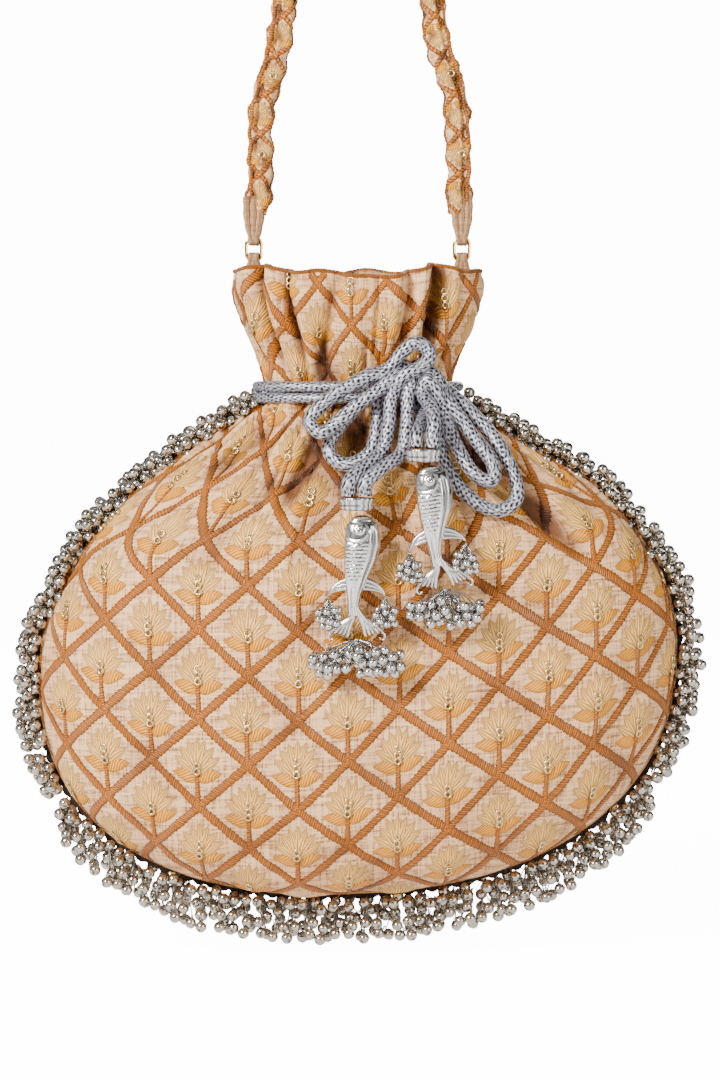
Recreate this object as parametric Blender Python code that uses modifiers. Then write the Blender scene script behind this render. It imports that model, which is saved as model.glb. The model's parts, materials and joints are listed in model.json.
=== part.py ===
"""Potli bag: a stuffed drawstring pouch with a bell trim, hung by its strap.

The origin is the point that the inside of the strap hangs from. The bag hangs along -Z, its
front faces -Y, and its width runs along X.
"""
import math

import bmesh
import bpy
import numpy as np
from mathutils import Matrix, Vector

# Heights, measured down from the hanging point.
LINK_TOP_Z = -0.2335
LINK_DROP = 0.0072
RIM_Z = -0.2450
NECK_Z = -0.2853
BELLY_Z = -0.3771
BOTTOM_Z = -0.4556

# The pouch hangs this far behind the links, so that its weight is straight below them.
BALANCE_Y = 0.0028

# The pouch.
BELLY_HALF_WIDTH = 0.1078
BELLY_HALF_DEPTH = 0.0400
CENTRE_X = 0.0
TILT = 0.047
SEAM_GAP = 0.0008
PANEL_THICKNESS = 0.0012
LINING_INSET = 0.0022
LINING_THICKNESS = 0.0006
TAPE_HALF_THICKNESS = 0.0005
TAPE_REACH = 0.0030
TAPE_BITE = 0.0008
ROUND_WIDTH_POWER = 2.3
ROUND_DEPTH_POWER = 2.8
SECTION_POWER = 2.2

# Height, half width and half depth of the pouch above its widest line, from the top down.
UPPER_STATIONS = (
    (-0.2450, 0.0408, 0.0268),
    (-0.2510, 0.0415, 0.0262),
    (-0.2608, 0.0390, 0.0235),
    (-0.2710, 0.0345, 0.0205),
    (-0.2816, 0.0315, 0.0186),
    (-0.2890, 0.0315, 0.0186),
    (-0.2935, 0.0395, 0.0210),
    (-0.3057, 0.0595, 0.0270),
    (-0.3145, 0.0730, 0.0312),
    (-0.3271, 0.0868, 0.0358),
    (-0.3390, 0.0952, 0.0383),
    (-0.3526, 0.1027, 0.0396),
    (BELLY_Z, BELLY_HALF_WIDTH, BELLY_HALF_DEPTH),
)

# The bell trim, as lumps that hold the strings of bells.
TRIM_SEGMENTS = 18
TRIM_START = 0.0038
TRIM_SIDE_HALF = 0.0036
TRIM_BOTTOM_HALF = 0.0072
TRIM_HALF_DEPTH = 0.0085
TRIM_GAP = 0.0006

# The strap, its end loops and the oval links.
STRAP_THICKNESS = 0.0064
LOOP_WIDTH = 0.0034
LOOP_WALL = 0.0011
LOOP_CLEARANCE = 0.0005
LOOP_TUCK = 0.0070
STRAP_LOOP_RISE = 0.0120
LINK_HALF_WIDTH = 0.0026
LINK_WIRE = 0.0011
LEFT_LINK_X = -0.0352
RIGHT_LINK_X = 0.0350

# The drawstrings and their charms.
CORD_DIAMETER = 0.0048
TURN_DIAMETER = 0.0034
TURN_PITCH = 0.0038
TURN_CLEARANCE = 0.0020
TURN_START = math.radians(-76)
TURN_SWEEP = math.radians(330)
KNOT_CENTRE = (0.0166, -0.0262, -0.2785)
KNOT_HALF_SIZE = (0.0080, 0.0052, 0.0085)
CAP_LENGTH = 0.0052
CAP_RADIUS = 0.0036
FISH_LENGTH = 0.0400
FISH_HALF_WIDTH = 0.0062
FISH_HALF_DEPTH = 0.0030
FIN_REACH = 0.0092
FIN_DROP = 0.0268
FIN_HALF_THICKNESS = 0.0011
FISH_BODY_SHARE = 0.78
SNOUT_DROP = 0.0012
TAIL_ROOT_Z = -0.0302
# Outlines (x, z) of a fish's flat parts, measured from the point that it hangs by.
TAIL_OUTLINE = (
    (-0.0020, TAIL_ROOT_Z), (0.0020, TAIL_ROOT_Z), (0.0042, -0.0360), (0.0076, -FISH_LENGTH),
    (0.0, -0.0384), (-0.0076, -FISH_LENGTH), (-0.0042, -0.0360),
)
FIN_OUTLINE = (
    (-0.0030, -0.0180), (0.0030, -0.0180), (0.0092, -0.0240), (0.0088, -0.0262),
    (0.0030, -0.0250), (-0.0030, -0.0250), (-0.0088, -0.0262), (-0.0092, -0.0240),
)
FIN_BELLS_HALF_SIZE = (0.0040, 0.0044, 0.0052)
TAIL_BELLS_HALF_SIZE = (0.0120, 0.0060, 0.0066)
CHARM_1_TOP = (-0.0004, -0.0480, -0.3250)
CHARM_2_TOP = (0.0214, -0.0480, -0.3092)
CHARM_2_LEAN = math.radians(10)

# Left ears are the bow's loops on the -X side, right ears those on the +X side. Each route
# starts and ends at the knot; the tails run from the knot to a charm's cap.
LEFT_EAR_A = (
    (0.0100, -0.0322, -0.2775), (0.0030, -0.0332, -0.2800), (-0.0050, -0.0340, -0.2845),
    (-0.0120, -0.0350, -0.2895), (-0.0158, -0.0358, -0.2945), (-0.0120, -0.0372, -0.2985),
    (-0.0060, -0.0372, -0.2945), (0.0008, -0.0360, -0.2885), (0.0080, -0.0340, -0.2835),
)
LEFT_EAR_B = (
    (0.0072, -0.0270, -0.2818), (-0.0008, -0.0278, -0.2905), (-0.0085, -0.0305, -0.3000),
    (-0.0090, -0.0330, -0.3060), (-0.0030, -0.0345, -0.3090), (0.0040, -0.0335, -0.3050),
    (0.0062, -0.0315, -0.2970), (0.0068, -0.0290, -0.2905), (0.0092, -0.0272, -0.2868),
)
RIGHT_EAR_A = (
    (0.0262, -0.0255, -0.2815), (0.0340, -0.0262, -0.2885), (0.0440, -0.0290, -0.2990),
    (0.0510, -0.0325, -0.3110), (0.0522, -0.0355, -0.3200), (0.0460, -0.0372, -0.3240),
    (0.0370, -0.0370, -0.3200), (0.0298, -0.0350, -0.3110), (0.0266, -0.0318, -0.3000),
    (0.0262, -0.0282, -0.2895),
)
RIGHT_EAR_B = (
    (0.0258, -0.0300, -0.2800), (0.0300, -0.0330, -0.2885), (0.0370, -0.0350, -0.2985),
    (0.0440, -0.0378, -0.3080), (0.0440, -0.0398, -0.3140), (0.0385, -0.0395, -0.3122),
    (0.0338, -0.0372, -0.3055), (0.0302, -0.0350, -0.2975), (0.0272, -0.0340, -0.2905),
)
TAIL_1_A = (
    (0.0111, -0.0330, -0.2868), (0.0102, -0.0357, -0.2960), (0.0076, -0.0388, -0.3050),
    (0.0010, -0.0445, -0.3100), (-0.0028, -0.0478, -0.3145), (-0.0030, -0.0480, -0.3188),
)
TAIL_1_B = (
    (0.0164, -0.0340, -0.2872), (0.0161, -0.0368, -0.2960), (0.0143, -0.0403, -0.3050),
    (0.0075, -0.0454, -0.3100), (0.0026, -0.0478, -0.3145), (0.0023, -0.0480, -0.3188),
)
TAIL_2_A = (
    (0.0194, -0.0275, -0.2878), (0.0214, -0.0305, -0.2920), (0.0211, -0.0380, -0.2953),
    (0.0190, -0.0470, -0.2990), (0.0188, -0.0480, -0.3029),
)
TAIL_2_B = (
    (0.0212, -0.0345, -0.2855), (0.0236, -0.0395, -0.2895), (0.0248, -0.0455, -0.2940),
    (0.0243, -0.0478, -0.2990), (0.0241, -0.0480, -0.3029),
)

PART_COLLECTION = "potli_bag"
CUTTER_COLLECTION = "cutters"


def clear_scene():
    """Remove every object and leave two empty collections to build in."""
    for item in list(bpy.data.objects):
        bpy.data.objects.remove(item, do_unlink=True)
    for name in (PART_COLLECTION, CUTTER_COLLECTION):
        group = bpy.data.collections.new(name)
        bpy.context.scene.collection.children.link(group)


def make_material(name, colour, roughness, metallic=0.0):
    """Return a Principled material."""
    material = bpy.data.materials.new(name)
    material.use_nodes = True
    shader = material.node_tree.nodes["Principled BSDF"]
    shader.inputs["Base Color"].default_value = (*colour, 1.0)
    shader.inputs["Roughness"].default_value = roughness
    shader.inputs["Metallic"].default_value = metallic
    return material


def add_object(name, data, material, group=PART_COLLECTION):
    """Link a new object that carries one material."""
    item = bpy.data.objects.new(name, data)
    bpy.data.collections[group].objects.link(item)
    data.materials.append(material)
    return item


def add_mesh(name, points, faces, material, group=PART_COLLECTION):
    """Make a mesh object from a loft's points and faces, with its faces turned outward."""
    mesh = bpy.data.meshes.new(name)
    mesh.from_pydata([tuple(point) for point in points], [], faces)
    shape = bmesh.new()
    shape.from_mesh(mesh)
    bmesh.ops.remove_doubles(shape, verts=shape.verts, dist=1e-5)
    bmesh.ops.recalc_face_normals(shape, faces=shape.faces)
    shape.to_mesh(mesh)
    shape.free()
    mesh.shade_smooth()
    return add_object(name, mesh, material, group)


def set_origin(item, point):
    """Move an object's origin to a point without moving its shape."""
    shift = Vector(point) - item.location
    item.data.transform(Matrix.Translation(-shift))
    item.location = point


# ---------------------------------------------------------------- the pouch's form

def upper_size(height):
    """Half width and half depth above the widest line, on a smooth curve."""
    rows = np.array(UPPER_STATIONS)[::-1]
    levels = rows[:, 0]
    index = int(np.clip(np.searchsorted(levels, height) - 1, 0, len(levels) - 2))
    step = levels[index + 1] - levels[index]
    part = (height - levels[index]) / step
    slopes = np.gradient(rows[:, 1:], levels, axis=0) * step
    slopes[0] = 0.0
    start_share = 2 * part**3 - 3 * part**2 + 1
    start_slope = part**3 - 2 * part**2 + part
    end_slope = part**3 - part**2
    return (start_share * rows[index, 1:] + (1 - start_share) * rows[index + 1, 1:]
            + start_slope * slopes[index] + end_slope * slopes[index + 1])


def pouch_size(height):
    """Half width and half depth of the pouch at a height, before it is tilted."""
    if height >= BELLY_Z:
        return upper_size(height)
    drop = min(1.0, (BELLY_Z - height) / (BELLY_Z - BOTTOM_Z))
    width = BELLY_HALF_WIDTH * (1 - drop**ROUND_WIDTH_POWER)**(1 / ROUND_WIDTH_POWER)
    depth = BELLY_HALF_DEPTH * (1 - drop**ROUND_DEPTH_POWER)**(1 / ROUND_DEPTH_POWER)
    return width, depth


def pouch_point(angle, height, gap=0.0):
    """Point on the pouch at an angle round it (0 is +X, quarter turns to the back at +Y)."""
    width, depth = pouch_size(height)
    across = math.cos(angle)
    along = math.sin(angle)
    bulge = (1 - min(1.0, abs(across))**SECTION_POWER)**(1 / SECTION_POWER)
    side = math.copysign(1.0, along)
    x = CENTRE_X + width * across
    fade = min(1.0, max(0.0, (NECK_Z - height) / 0.045))
    return Vector((x, side * (gap + depth * bulge), height + TILT * x * fade * fade * (3 - 2 * fade)))


def pouch_levels(below):
    """Heights from the rim down to the bottom, closer together where the form turns."""
    upper = [row[0] for row in UPPER_STATIONS[:-1]]
    lower = [BELLY_Z + (BOTTOM_Z - BELLY_Z) * math.sin(math.pi / 2 * step / below)
             for step in range(below + 1)]
    return upper + lower


def grid_faces(rows, columns, closed=False):
    """Quads of a grid of points held row by row."""
    faces = []
    for row in range(rows - 1):
        for column in range(columns if closed else columns - 1):
            following = (column + 1) % columns
            faces.append((row * columns + column, row * columns + following,
                          (row + 1) * columns + following, (row + 1) * columns + column))
    return faces


def add_solidify(item, thickness):
    """Give an open surface its thickness, inward."""
    shell = item.modifiers.new("thickness", "SOLIDIFY")
    shell.thickness = thickness
    shell.offset = -1.0
    shell.use_even_offset = True


def outward(item):
    """Turn an open pouch surface's faces to point away from the pouch's axis."""
    shape = bmesh.new()
    shape.from_mesh(item.data)
    middle = Vector((0.0, 0.0, BELLY_Z))
    total = sum(face.normal.dot(face.calc_center_median() - middle) for face in shape.faces)
    if total < 0:
        bmesh.ops.reverse_faces(shape, faces=shape.faces)
    shape.to_mesh(item.data)
    shape.free()


def build_panel(name, side, material):
    """One half of the pouch's outer fabric, from seam to seam."""
    levels = pouch_levels(8)
    columns = 19
    points = []
    for height in levels:
        for column in range(columns):
            angle = side * math.pi * (0.0001 + 0.9998 * column / (columns - 1))
            points.append(pouch_point(angle, height, SEAM_GAP))
    panel = add_mesh(name, points, grid_faces(len(levels), columns), material)
    outward(panel)
    add_solidify(panel, PANEL_THICKNESS)


def build_lining(material):
    """The loose cotton bag inside the outer fabric, open at the mouth."""
    levels = pouch_levels(7)
    columns = 24
    points = []
    for height in levels:
        for column in range(columns):
            points.append(pouch_point(2 * math.pi * column / columns, height))
    lining = add_mesh("lining", points, grid_faces(len(levels), columns, True), material)
    outward(lining)
    inset = lining.modifiers.new("inset", "DISPLACE")
    inset.mid_level = 0.0
    inset.strength = -LINING_INSET
    add_solidify(lining, LINING_THICKNESS)


def seam_path(count):
    """Points and outward directions along the side and bottom seam, left neck to right neck."""
    fine = []
    for side in (math.pi, 0.0):
        levels = [NECK_Z - 0.006 + (BELLY_Z - NECK_Z + 0.006) * step / 60 for step in range(60)]
        levels += [BELLY_Z + (BOTTOM_Z - BELLY_Z) * math.sin(math.pi / 2 * step / 80)
                   for step in range(81)]
        run = [pouch_point(side, height) for height in levels]
        fine += run if side else run[-2::-1]
    fine = [Vector((point.x, 0.0, point.z)) for point in fine]
    lengths = [0.0]
    for start, end in zip(fine, fine[1:]):
        lengths.append(lengths[-1] + (end - start).length)
    path = []
    for step in range(count):
        place = lengths[-1] * step / (count - 1)
        x = np.interp(place, lengths, [point.x for point in fine])
        z = np.interp(place, lengths, [point.z for point in fine])
        path.append(Vector((x, 0.0, z)))
    directions = []
    for index in range(count):
        along = path[min(index + 2, count - 1)] - path[max(index - 2, 0)]
        directions.append(Vector((-along.z, 0.0, along.x)).normalized() * -1)
    return path, directions, lengths[-1]


def build_tape(material):
    """The flat tape sewn into the seam, which the bells hang from."""
    count = 61
    path, directions, _ = seam_path(count)
    points = []
    for point, away in zip(path, directions):
        for reach, depth in ((-TAPE_BITE, -1), (TAPE_REACH, -1), (TAPE_REACH, 1), (-TAPE_BITE, 1)):
            points.append(point + away * reach + Vector((0, depth * TAPE_HALF_THICKNESS, 0)))
    faces = grid_faces(count, 4, True)
    faces.append((0, 1, 2, 3))
    faces.append(tuple(range(4 * count - 4, 4 * count)))
    add_mesh("trim_tape", points, faces, material)


def build_bell_trim(material):
    """The bells along the seam, in segments, each the outer shape of its strings of bells."""
    rings_each = 7
    sides = 10
    count = TRIM_SEGMENTS * 30 + 1
    path, directions, length = seam_path(count)
    trim_gap_share = TRIM_GAP / length * (count - 1) / 2
    for segment in range(TRIM_SEGMENTS):
        points = []
        for ring in range(rings_each):
            share = ring / (rings_each - 1)
            place = segment * 30 + trim_gap_share + share * (30 - 2 * trim_gap_share)
            low = int(place)
            high = min(low + 1, count - 1)
            centre = path[low].lerp(path[high], place - low)
            away = directions[low].lerp(directions[high], place - low).normalized()
            downward = max(0.0, -away.z)
            half = TRIM_SIDE_HALF + (TRIM_BOTTOM_HALF - TRIM_SIDE_HALF) * downward**2
            half *= 1 + 0.06 * math.sin(7.3 * (segment * (rings_each - 1) + ring))
            middle = centre + away * (TRIM_START + TRIM_BOTTOM_HALF * downward**2 * 0.06 + half)
            for side in range(sides):
                turn = 2 * math.pi * side / sides
                points.append(middle + away * (half * math.cos(turn))
                              + Vector((0, TRIM_HALF_DEPTH * math.sin(turn), 0)))
        faces = grid_faces(rings_each, sides, True)
        faces.append(tuple(range(sides)))
        faces.append(tuple(range(sides * (rings_each - 1), sides * rings_each)))
        add_mesh(f"bell_trim_{segment + 1:02d}", points, faces, material)


# ---------------------------------------------------------------- curves

def smooth_route(points, spacing):
    """Points at an even spacing on a smooth curve through a route's own points."""
    route = [Vector(point) for point in points]
    route = [route[0] * 2 - route[1]] + route + [route[-1] * 2 - route[-2]]
    fine = []
    for index in range(1, len(route) - 2):
        before, start, end, after = route[index - 1:index + 3]
        for step in range(12):
            part = step / 12
            fine.append(0.5 * (2 * start + (end - before) * part
                               + (2 * before - 5 * start + 4 * end - after) * part**2
                               + (3 * start - before - 3 * end + after) * part**3))
    fine.append(route[-2])
    lengths = [0.0]
    for start, end in zip(fine, fine[1:]):
        lengths.append(lengths[-1] + (end - start).length)
    count = max(3, round(lengths[-1] / spacing) + 1)
    places = np.linspace(0.0, lengths[-1], count)
    axes = [np.interp(places, lengths, [point[axis] for point in fine]) for axis in range(3)]
    return [Vector(values) for values in zip(*axes)]


def build_tube(name, points, diameter, material, closed=False):
    """A round tube along a line of points."""
    curve = bpy.data.curves.new(name, "CURVE")
    curve.dimensions = "3D"
    curve.bevel_depth = diameter / 2
    curve.bevel_resolution = 2
    curve.use_fill_caps = not closed
    spline = curve.splines.new("POLY")
    spline.points.add(len(points) - 1)
    for slot, point in zip(spline.points, points):
        slot.co = (*point, 1.0)
    spline.use_cyclic_u = closed
    return add_object(name, curve, material)


def build_strap(fabric):
    """The folded strap: up from the left, over the hanging point and down to the right."""
    half = STRAP_THICKNESS / 2
    foot_z = LINK_TOP_Z + STRAP_LOOP_RISE + 0.0005
    route = (
        (LEFT_LINK_X + 0.0018, 0, foot_z), (LEFT_LINK_X + 0.0030, 0, foot_z + 0.030),
        (LEFT_LINK_X + 0.0100, 0, -0.1600), (LEFT_LINK_X + 0.0150, 0, -0.1000),
        (LEFT_LINK_X + 0.0190, 0, -0.0400), (-0.0125, 0, -0.0130), (-0.0062, 0, -0.0010),
        (0.0, 0, half + 0.0004), (0.0066, 0, -0.0010), (0.0140, 0, -0.0130),
        (RIGHT_LINK_X - 0.0165, 0, -0.0400), (RIGHT_LINK_X - 0.0132, 0, -0.1000),
        (RIGHT_LINK_X - 0.0092, 0, -0.1600), (RIGHT_LINK_X - 0.0016, 0, foot_z + 0.030),
        (RIGHT_LINK_X - 0.0012, 0, foot_z),
    )
    build_tube("strap", smooth_route(route, 0.0095), STRAP_THICKNESS, fabric)


def oval_points(half_width, top, bottom, x, count):
    """Points of an upright stadium-shaped loop in the XZ plane."""
    points = []
    for step in range(count):
        turn = 2 * math.pi * step / count
        reach = (top - bottom) / 2 - half_width
        z = (top + bottom) / 2 + half_width * math.sin(turn) + math.copysign(reach, math.sin(turn))
        points.append(Vector((x + half_width * math.cos(turn), 0.0, z)))
    return points


def build_link(name, x, gold):
    """A gold oval link: its top wire sits in the strap's loop, its foot in the bag's loop."""
    link = build_tube(name, oval_points(LINK_HALF_WIDTH, LINK_TOP_Z + LINK_WIRE / 2,
                                        LINK_TOP_Z - LINK_DROP - LINK_WIRE / 2, x, 18),
                      LINK_WIRE, gold, closed=True)
    set_origin(link, (x, 0.0, LINK_TOP_Z))


def build_fabric_loop(name, x, axis_z, top_z, fabric):
    """A folded fabric loop round a link's wire, closed into a tab on its other side."""
    bore = LINK_WIRE / 2 + LOOP_CLEARANCE
    wall = LOOP_WALL
    width = LOOP_WIDTH
    direction = math.copysign(1.0, top_z - axis_z)
    section = []
    for step in range(13):
        turn = math.pi * (1 + step / 12)
        section.append(((bore + wall) * math.cos(turn), (bore + wall) * math.sin(turn)))
    section.append((bore + wall, abs(top_z - axis_z)))
    section.append((-bore - wall, abs(top_z - axis_z)))
    points = []
    for side in (-0.5, 0.5):
        for depth, rise in section:
            points.append((x + side * width, depth, axis_z + direction * rise))
    count = len(section)
    faces = grid_faces(2, count, True)
    faces.append(tuple(range(count)))
    faces.append(tuple(range(count, 2 * count)))
    loop = add_mesh(name, points, faces, fabric)
    bpy.ops.mesh.primitive_cylinder_add(vertices=20, radius=bore, depth=4 * width,
                                        location=(x, 0, axis_z), rotation=(0, math.pi / 2, 0))
    bore_cutter = bpy.context.active_object
    bore_cutter.name = f"{name}_bore"
    cut_away(loop, bore_cutter)


def hide_cutter(cutter):
    """Keep a cutting shape out of the part."""
    for group in list(cutter.users_collection):
        group.objects.unlink(cutter)
    bpy.data.collections[CUTTER_COLLECTION].objects.link(cutter)
    cutter.hide_render = True
    cutter.display_type = "WIRE"


def cut_away(item, cutter, operation="DIFFERENCE"):
    """Cut a shape from an object, or join one to it."""
    hide_cutter(cutter)
    cut = item.modifiers.new("cut", "BOOLEAN")
    cut.operation = operation
    cut.solver = "EXACT"
    cut.object = cutter


# ---------------------------------------------------------------- drawstrings and charms

def clear_of_knot(points):
    """The part of a route that lies outside the knot."""
    centre = Vector(KNOT_CENTRE)
    size = [half + 0.0016 for half in KNOT_HALF_SIZE]
    kept = []
    for point in points:
        away = point - centre
        if sum((away[axis] / size[axis])**2 for axis in range(3)) > 1.0:
            kept.append(point)
    return kept


def neck_turn(level):
    """Points of one turn of cord round the neck, from the knot's left to its right."""
    width, depth = pouch_size(NECK_Z)
    reach = TURN_DIAMETER / 2 + TURN_CLEARANCE
    count = 34
    points = []
    for step in range(count):
        turn = TURN_START - TURN_SWEEP * step / (count - 1)
        across = math.cos(turn)
        bulge = (1 - abs(across)**SECTION_POWER)**(1 / SECTION_POWER)
        points.append(Vector((CENTRE_X + (width + reach) * across,
                              math.copysign((depth + reach) * bulge, math.sin(turn)),
                              NECK_Z + level)))
    return points


def build_drawstrings(silver_mesh):
    """Two cords side by side: round the neck, into the bow's ears and down to the charms."""
    stretches = {
        "drawstring_a_left_ear": LEFT_EAR_A, "drawstring_b_left_ear": LEFT_EAR_B,
        "drawstring_a_right_ear": RIGHT_EAR_A, "drawstring_b_right_ear": RIGHT_EAR_B,
        "drawstring_a_left_tail": TAIL_1_A, "drawstring_b_left_tail": TAIL_1_B,
        "drawstring_a_right_tail": TAIL_2_A, "drawstring_b_right_tail": TAIL_2_B,
    }
    for name, route in stretches.items():
        build_tube(name, clear_of_knot(smooth_route(route, CORD_DIAMETER)), CORD_DIAMETER, silver_mesh)
    for name, level in (("drawstring_a_turn", TURN_PITCH / 2), ("drawstring_b_turn", -TURN_PITCH / 2)):
        build_tube(name, neck_turn(level), TURN_DIAMETER, silver_mesh)
    bpy.ops.mesh.primitive_uv_sphere_add(segments=16, ring_count=9, radius=1.0)
    knot = bpy.context.active_object
    knot.name = "bow_knot"
    knot.data.transform(Matrix.Diagonal((*KNOT_HALF_SIZE, 1.0)))
    knot.location = KNOT_CENTRE
    adopt(knot, silver_mesh)


def adopt(item, material):
    """Move a primitive into the part's collection and give it its material."""
    for group in list(item.users_collection):
        group.objects.unlink(item)
    bpy.data.collections[PART_COLLECTION].objects.link(item)
    item.data.materials.append(material)
    item.data.shade_smooth()


def fish_section(share):
    """Half width and half depth of a fish's body, from its snout (0) to its tail root (1)."""
    swell = math.sin(math.pi * min(1.0, 0.16 + 0.80 * share))**0.75
    return FISH_HALF_WIDTH * swell, FISH_HALF_DEPTH * (0.35 + 0.65 * swell)


def build_fish(name, top, lean, silver):
    """A cast fish charm that hangs by its snout, with its tail and side fins."""
    body_length = FISH_LENGTH * FISH_BODY_SHARE
    rings = 10
    sides = 12
    points = []
    for ring in range(rings):
        share = ring / (rings - 1)
        half_width, half_depth = fish_section(share)
        for side in range(sides):
            turn = 2 * math.pi * side / sides
            points.append((half_width * math.cos(turn), half_depth * math.sin(turn),
                           -SNOUT_DROP - body_length * share))
    faces = grid_faces(rings, sides, True)
    faces.append(tuple(range(sides)))
    faces.append(tuple(range(sides * (rings - 1), sides * rings)))
    fish = add_mesh(name, points, faces, silver)
    fish.location = top
    fish.rotation_euler.y = -lean
    for kind, outline in (("tail", TAIL_OUTLINE), ("fins", FIN_OUTLINE)):
        count = len(outline)
        plate = [(x, depth, z) for depth in (-FIN_HALF_THICKNESS, FIN_HALF_THICKNESS)
                 for x, z in outline]
        sheet = grid_faces(2, count, True)
        sheet.append(tuple(range(count)))
        sheet.append(tuple(range(count, 2 * count)))
        cutter = add_mesh(f"{name}_{kind}", plate, sheet, silver, CUTTER_COLLECTION)
        cutter.location = top
        cutter.rotation_euler.y = -lean
        cut_away(fish, cutter, "UNION")


def build_cap(name, top, silver):
    """The silver cap that ends two strands, fixed on them just above the fish."""
    bpy.ops.mesh.primitive_cylinder_add(vertices=20, radius=1.0, depth=CAP_LENGTH)
    cap = bpy.context.active_object
    cap.name = name
    cap.data.transform(Matrix.Diagonal((CAP_RADIUS * 1.55, CAP_RADIUS, 1.0, 1.0)))
    cap.location = Vector(top) + Vector((0, 0, 0.0004 + CAP_LENGTH / 2))
    adopt(cap, silver)
    rounding = cap.modifiers.new("rounding", "BEVEL")
    rounding.width = 0.0006
    rounding.segments = 2
    rounding.limit_method = "ANGLE"


def build_bells(name, place, size, silver):
    """The outer shape of one bunch of small bells, with its origin at the ring it swings on."""
    bpy.ops.mesh.primitive_ico_sphere_add(subdivisions=2, radius=1.0)
    bunch = bpy.context.active_object
    bunch.name = name
    for vertex in bunch.data.vertices:
        spread = 1.0 + 0.10 * math.sin(9 * vertex.co.x) * math.cos(8 * vertex.co.z)
        vertex.co = Vector((vertex.co.x * size[0], vertex.co.y * size[1],
                            vertex.co.z * size[2])) * spread
        vertex.co.z -= size[2] * 1.15
    bunch.location = place
    adopt(bunch, silver)


def build_charms(silver):
    """Both charms: cap, fish and three bunches of bells each."""
    for number, top, lean in ((1, CHARM_1_TOP, 0.0), (2, CHARM_2_TOP, CHARM_2_LEAN)):
        build_cap(f"cord_cap_{number}", top, silver)
        build_fish(f"fish_{number}", top, lean, silver)
        turn = Matrix.Rotation(-lean, 3, "Y")
        for side, sign in (("left", -1), ("right", 1)):
            place = Vector(top) + turn @ Vector((sign * FIN_REACH, 0, -FIN_DROP))
            build_bells(f"fish_{number}_{side}_bells", place, FIN_BELLS_HALF_SIZE, silver)
        place = Vector(top) + turn @ Vector((0, 0, -FISH_LENGTH - 0.0004))
        build_bells(f"fish_{number}_tail_bells", place, TAIL_BELLS_HALF_SIZE, silver)


def hang_in_balance():
    """Put the bag on one empty at the left link's foot, its pouch a little behind the links."""
    foot = Vector((LEFT_LINK_X, 0.0, LINK_TOP_Z - LINK_DROP))
    pouch = bpy.data.objects.new("pouch_frame", None)
    bpy.data.collections[PART_COLLECTION].objects.link(pouch)
    pouch.location = foot
    for item in bpy.data.objects:
        if item is pouch or item.name.startswith(("strap", "link")):
            continue
        item.parent = pouch
        item.location -= foot
        if not item.name.startswith("side_loop"):
            item.location.y += BALANCE_Y


def build_part():
    """Build the whole bag."""
    clear_scene()
    brocade = make_material("embroidered_silk", (0.60, 0.42, 0.26), 0.75)
    cotton = make_material("lining_cotton", (0.62, 0.52, 0.40), 0.85)
    tape = make_material("dark_tape", (0.10, 0.07, 0.05), 0.85)
    antique = make_material("antique_silver", (0.42, 0.38, 0.33), 0.30, 1.0)
    silver = make_material("cast_silver", (0.72, 0.70, 0.67), 0.25, 1.0)
    gold = make_material("gold_wire", (0.85, 0.62, 0.28), 0.25, 1.0)
    silver_mesh = make_material("silver_mesh_cord", (0.50, 0.49, 0.53), 0.40, 0.8)
    build_panel("front_panel", -1, brocade)
    build_panel("back_panel", 1, brocade)
    build_lining(cotton)
    build_tape(tape)
    build_bell_trim(antique)
    build_strap(brocade)
    for side, x in (("left", LEFT_LINK_X), ("right", RIGHT_LINK_X)):
        build_link(f"link_{side}", x, gold)
        build_fabric_loop(f"strap_loop_{side}", x, LINK_TOP_Z, LINK_TOP_Z + STRAP_LOOP_RISE, brocade)
        build_fabric_loop(f"side_loop_{side}", x, LINK_TOP_Z - LINK_DROP, RIM_Z - LOOP_TUCK, brocade)
    build_drawstrings(silver_mesh)
    build_charms(silver)
    hang_in_balance()


build_part()
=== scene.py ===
"""Looks of the potli bag: embroidered cloth, bells, knitted drawstrings, charms and strap."""
import json
import math

import bpy
import numpy as np
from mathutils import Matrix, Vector

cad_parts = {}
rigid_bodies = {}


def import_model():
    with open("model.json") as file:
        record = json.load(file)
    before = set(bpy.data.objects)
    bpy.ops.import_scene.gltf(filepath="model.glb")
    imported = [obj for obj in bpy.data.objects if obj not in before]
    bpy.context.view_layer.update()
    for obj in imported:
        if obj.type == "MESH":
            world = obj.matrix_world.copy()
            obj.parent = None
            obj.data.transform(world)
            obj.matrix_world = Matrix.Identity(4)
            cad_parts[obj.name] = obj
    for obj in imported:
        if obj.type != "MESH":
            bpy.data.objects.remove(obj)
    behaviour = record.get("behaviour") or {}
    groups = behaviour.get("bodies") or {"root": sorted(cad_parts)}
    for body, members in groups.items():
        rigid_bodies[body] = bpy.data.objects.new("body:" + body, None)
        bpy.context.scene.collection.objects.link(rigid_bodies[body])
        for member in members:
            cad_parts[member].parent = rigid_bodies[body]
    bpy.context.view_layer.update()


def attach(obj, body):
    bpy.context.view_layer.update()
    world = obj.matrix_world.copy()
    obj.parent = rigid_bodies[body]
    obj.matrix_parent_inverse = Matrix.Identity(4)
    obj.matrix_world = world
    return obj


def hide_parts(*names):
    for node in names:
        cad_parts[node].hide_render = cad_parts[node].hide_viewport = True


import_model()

MM = 0.001

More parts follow.
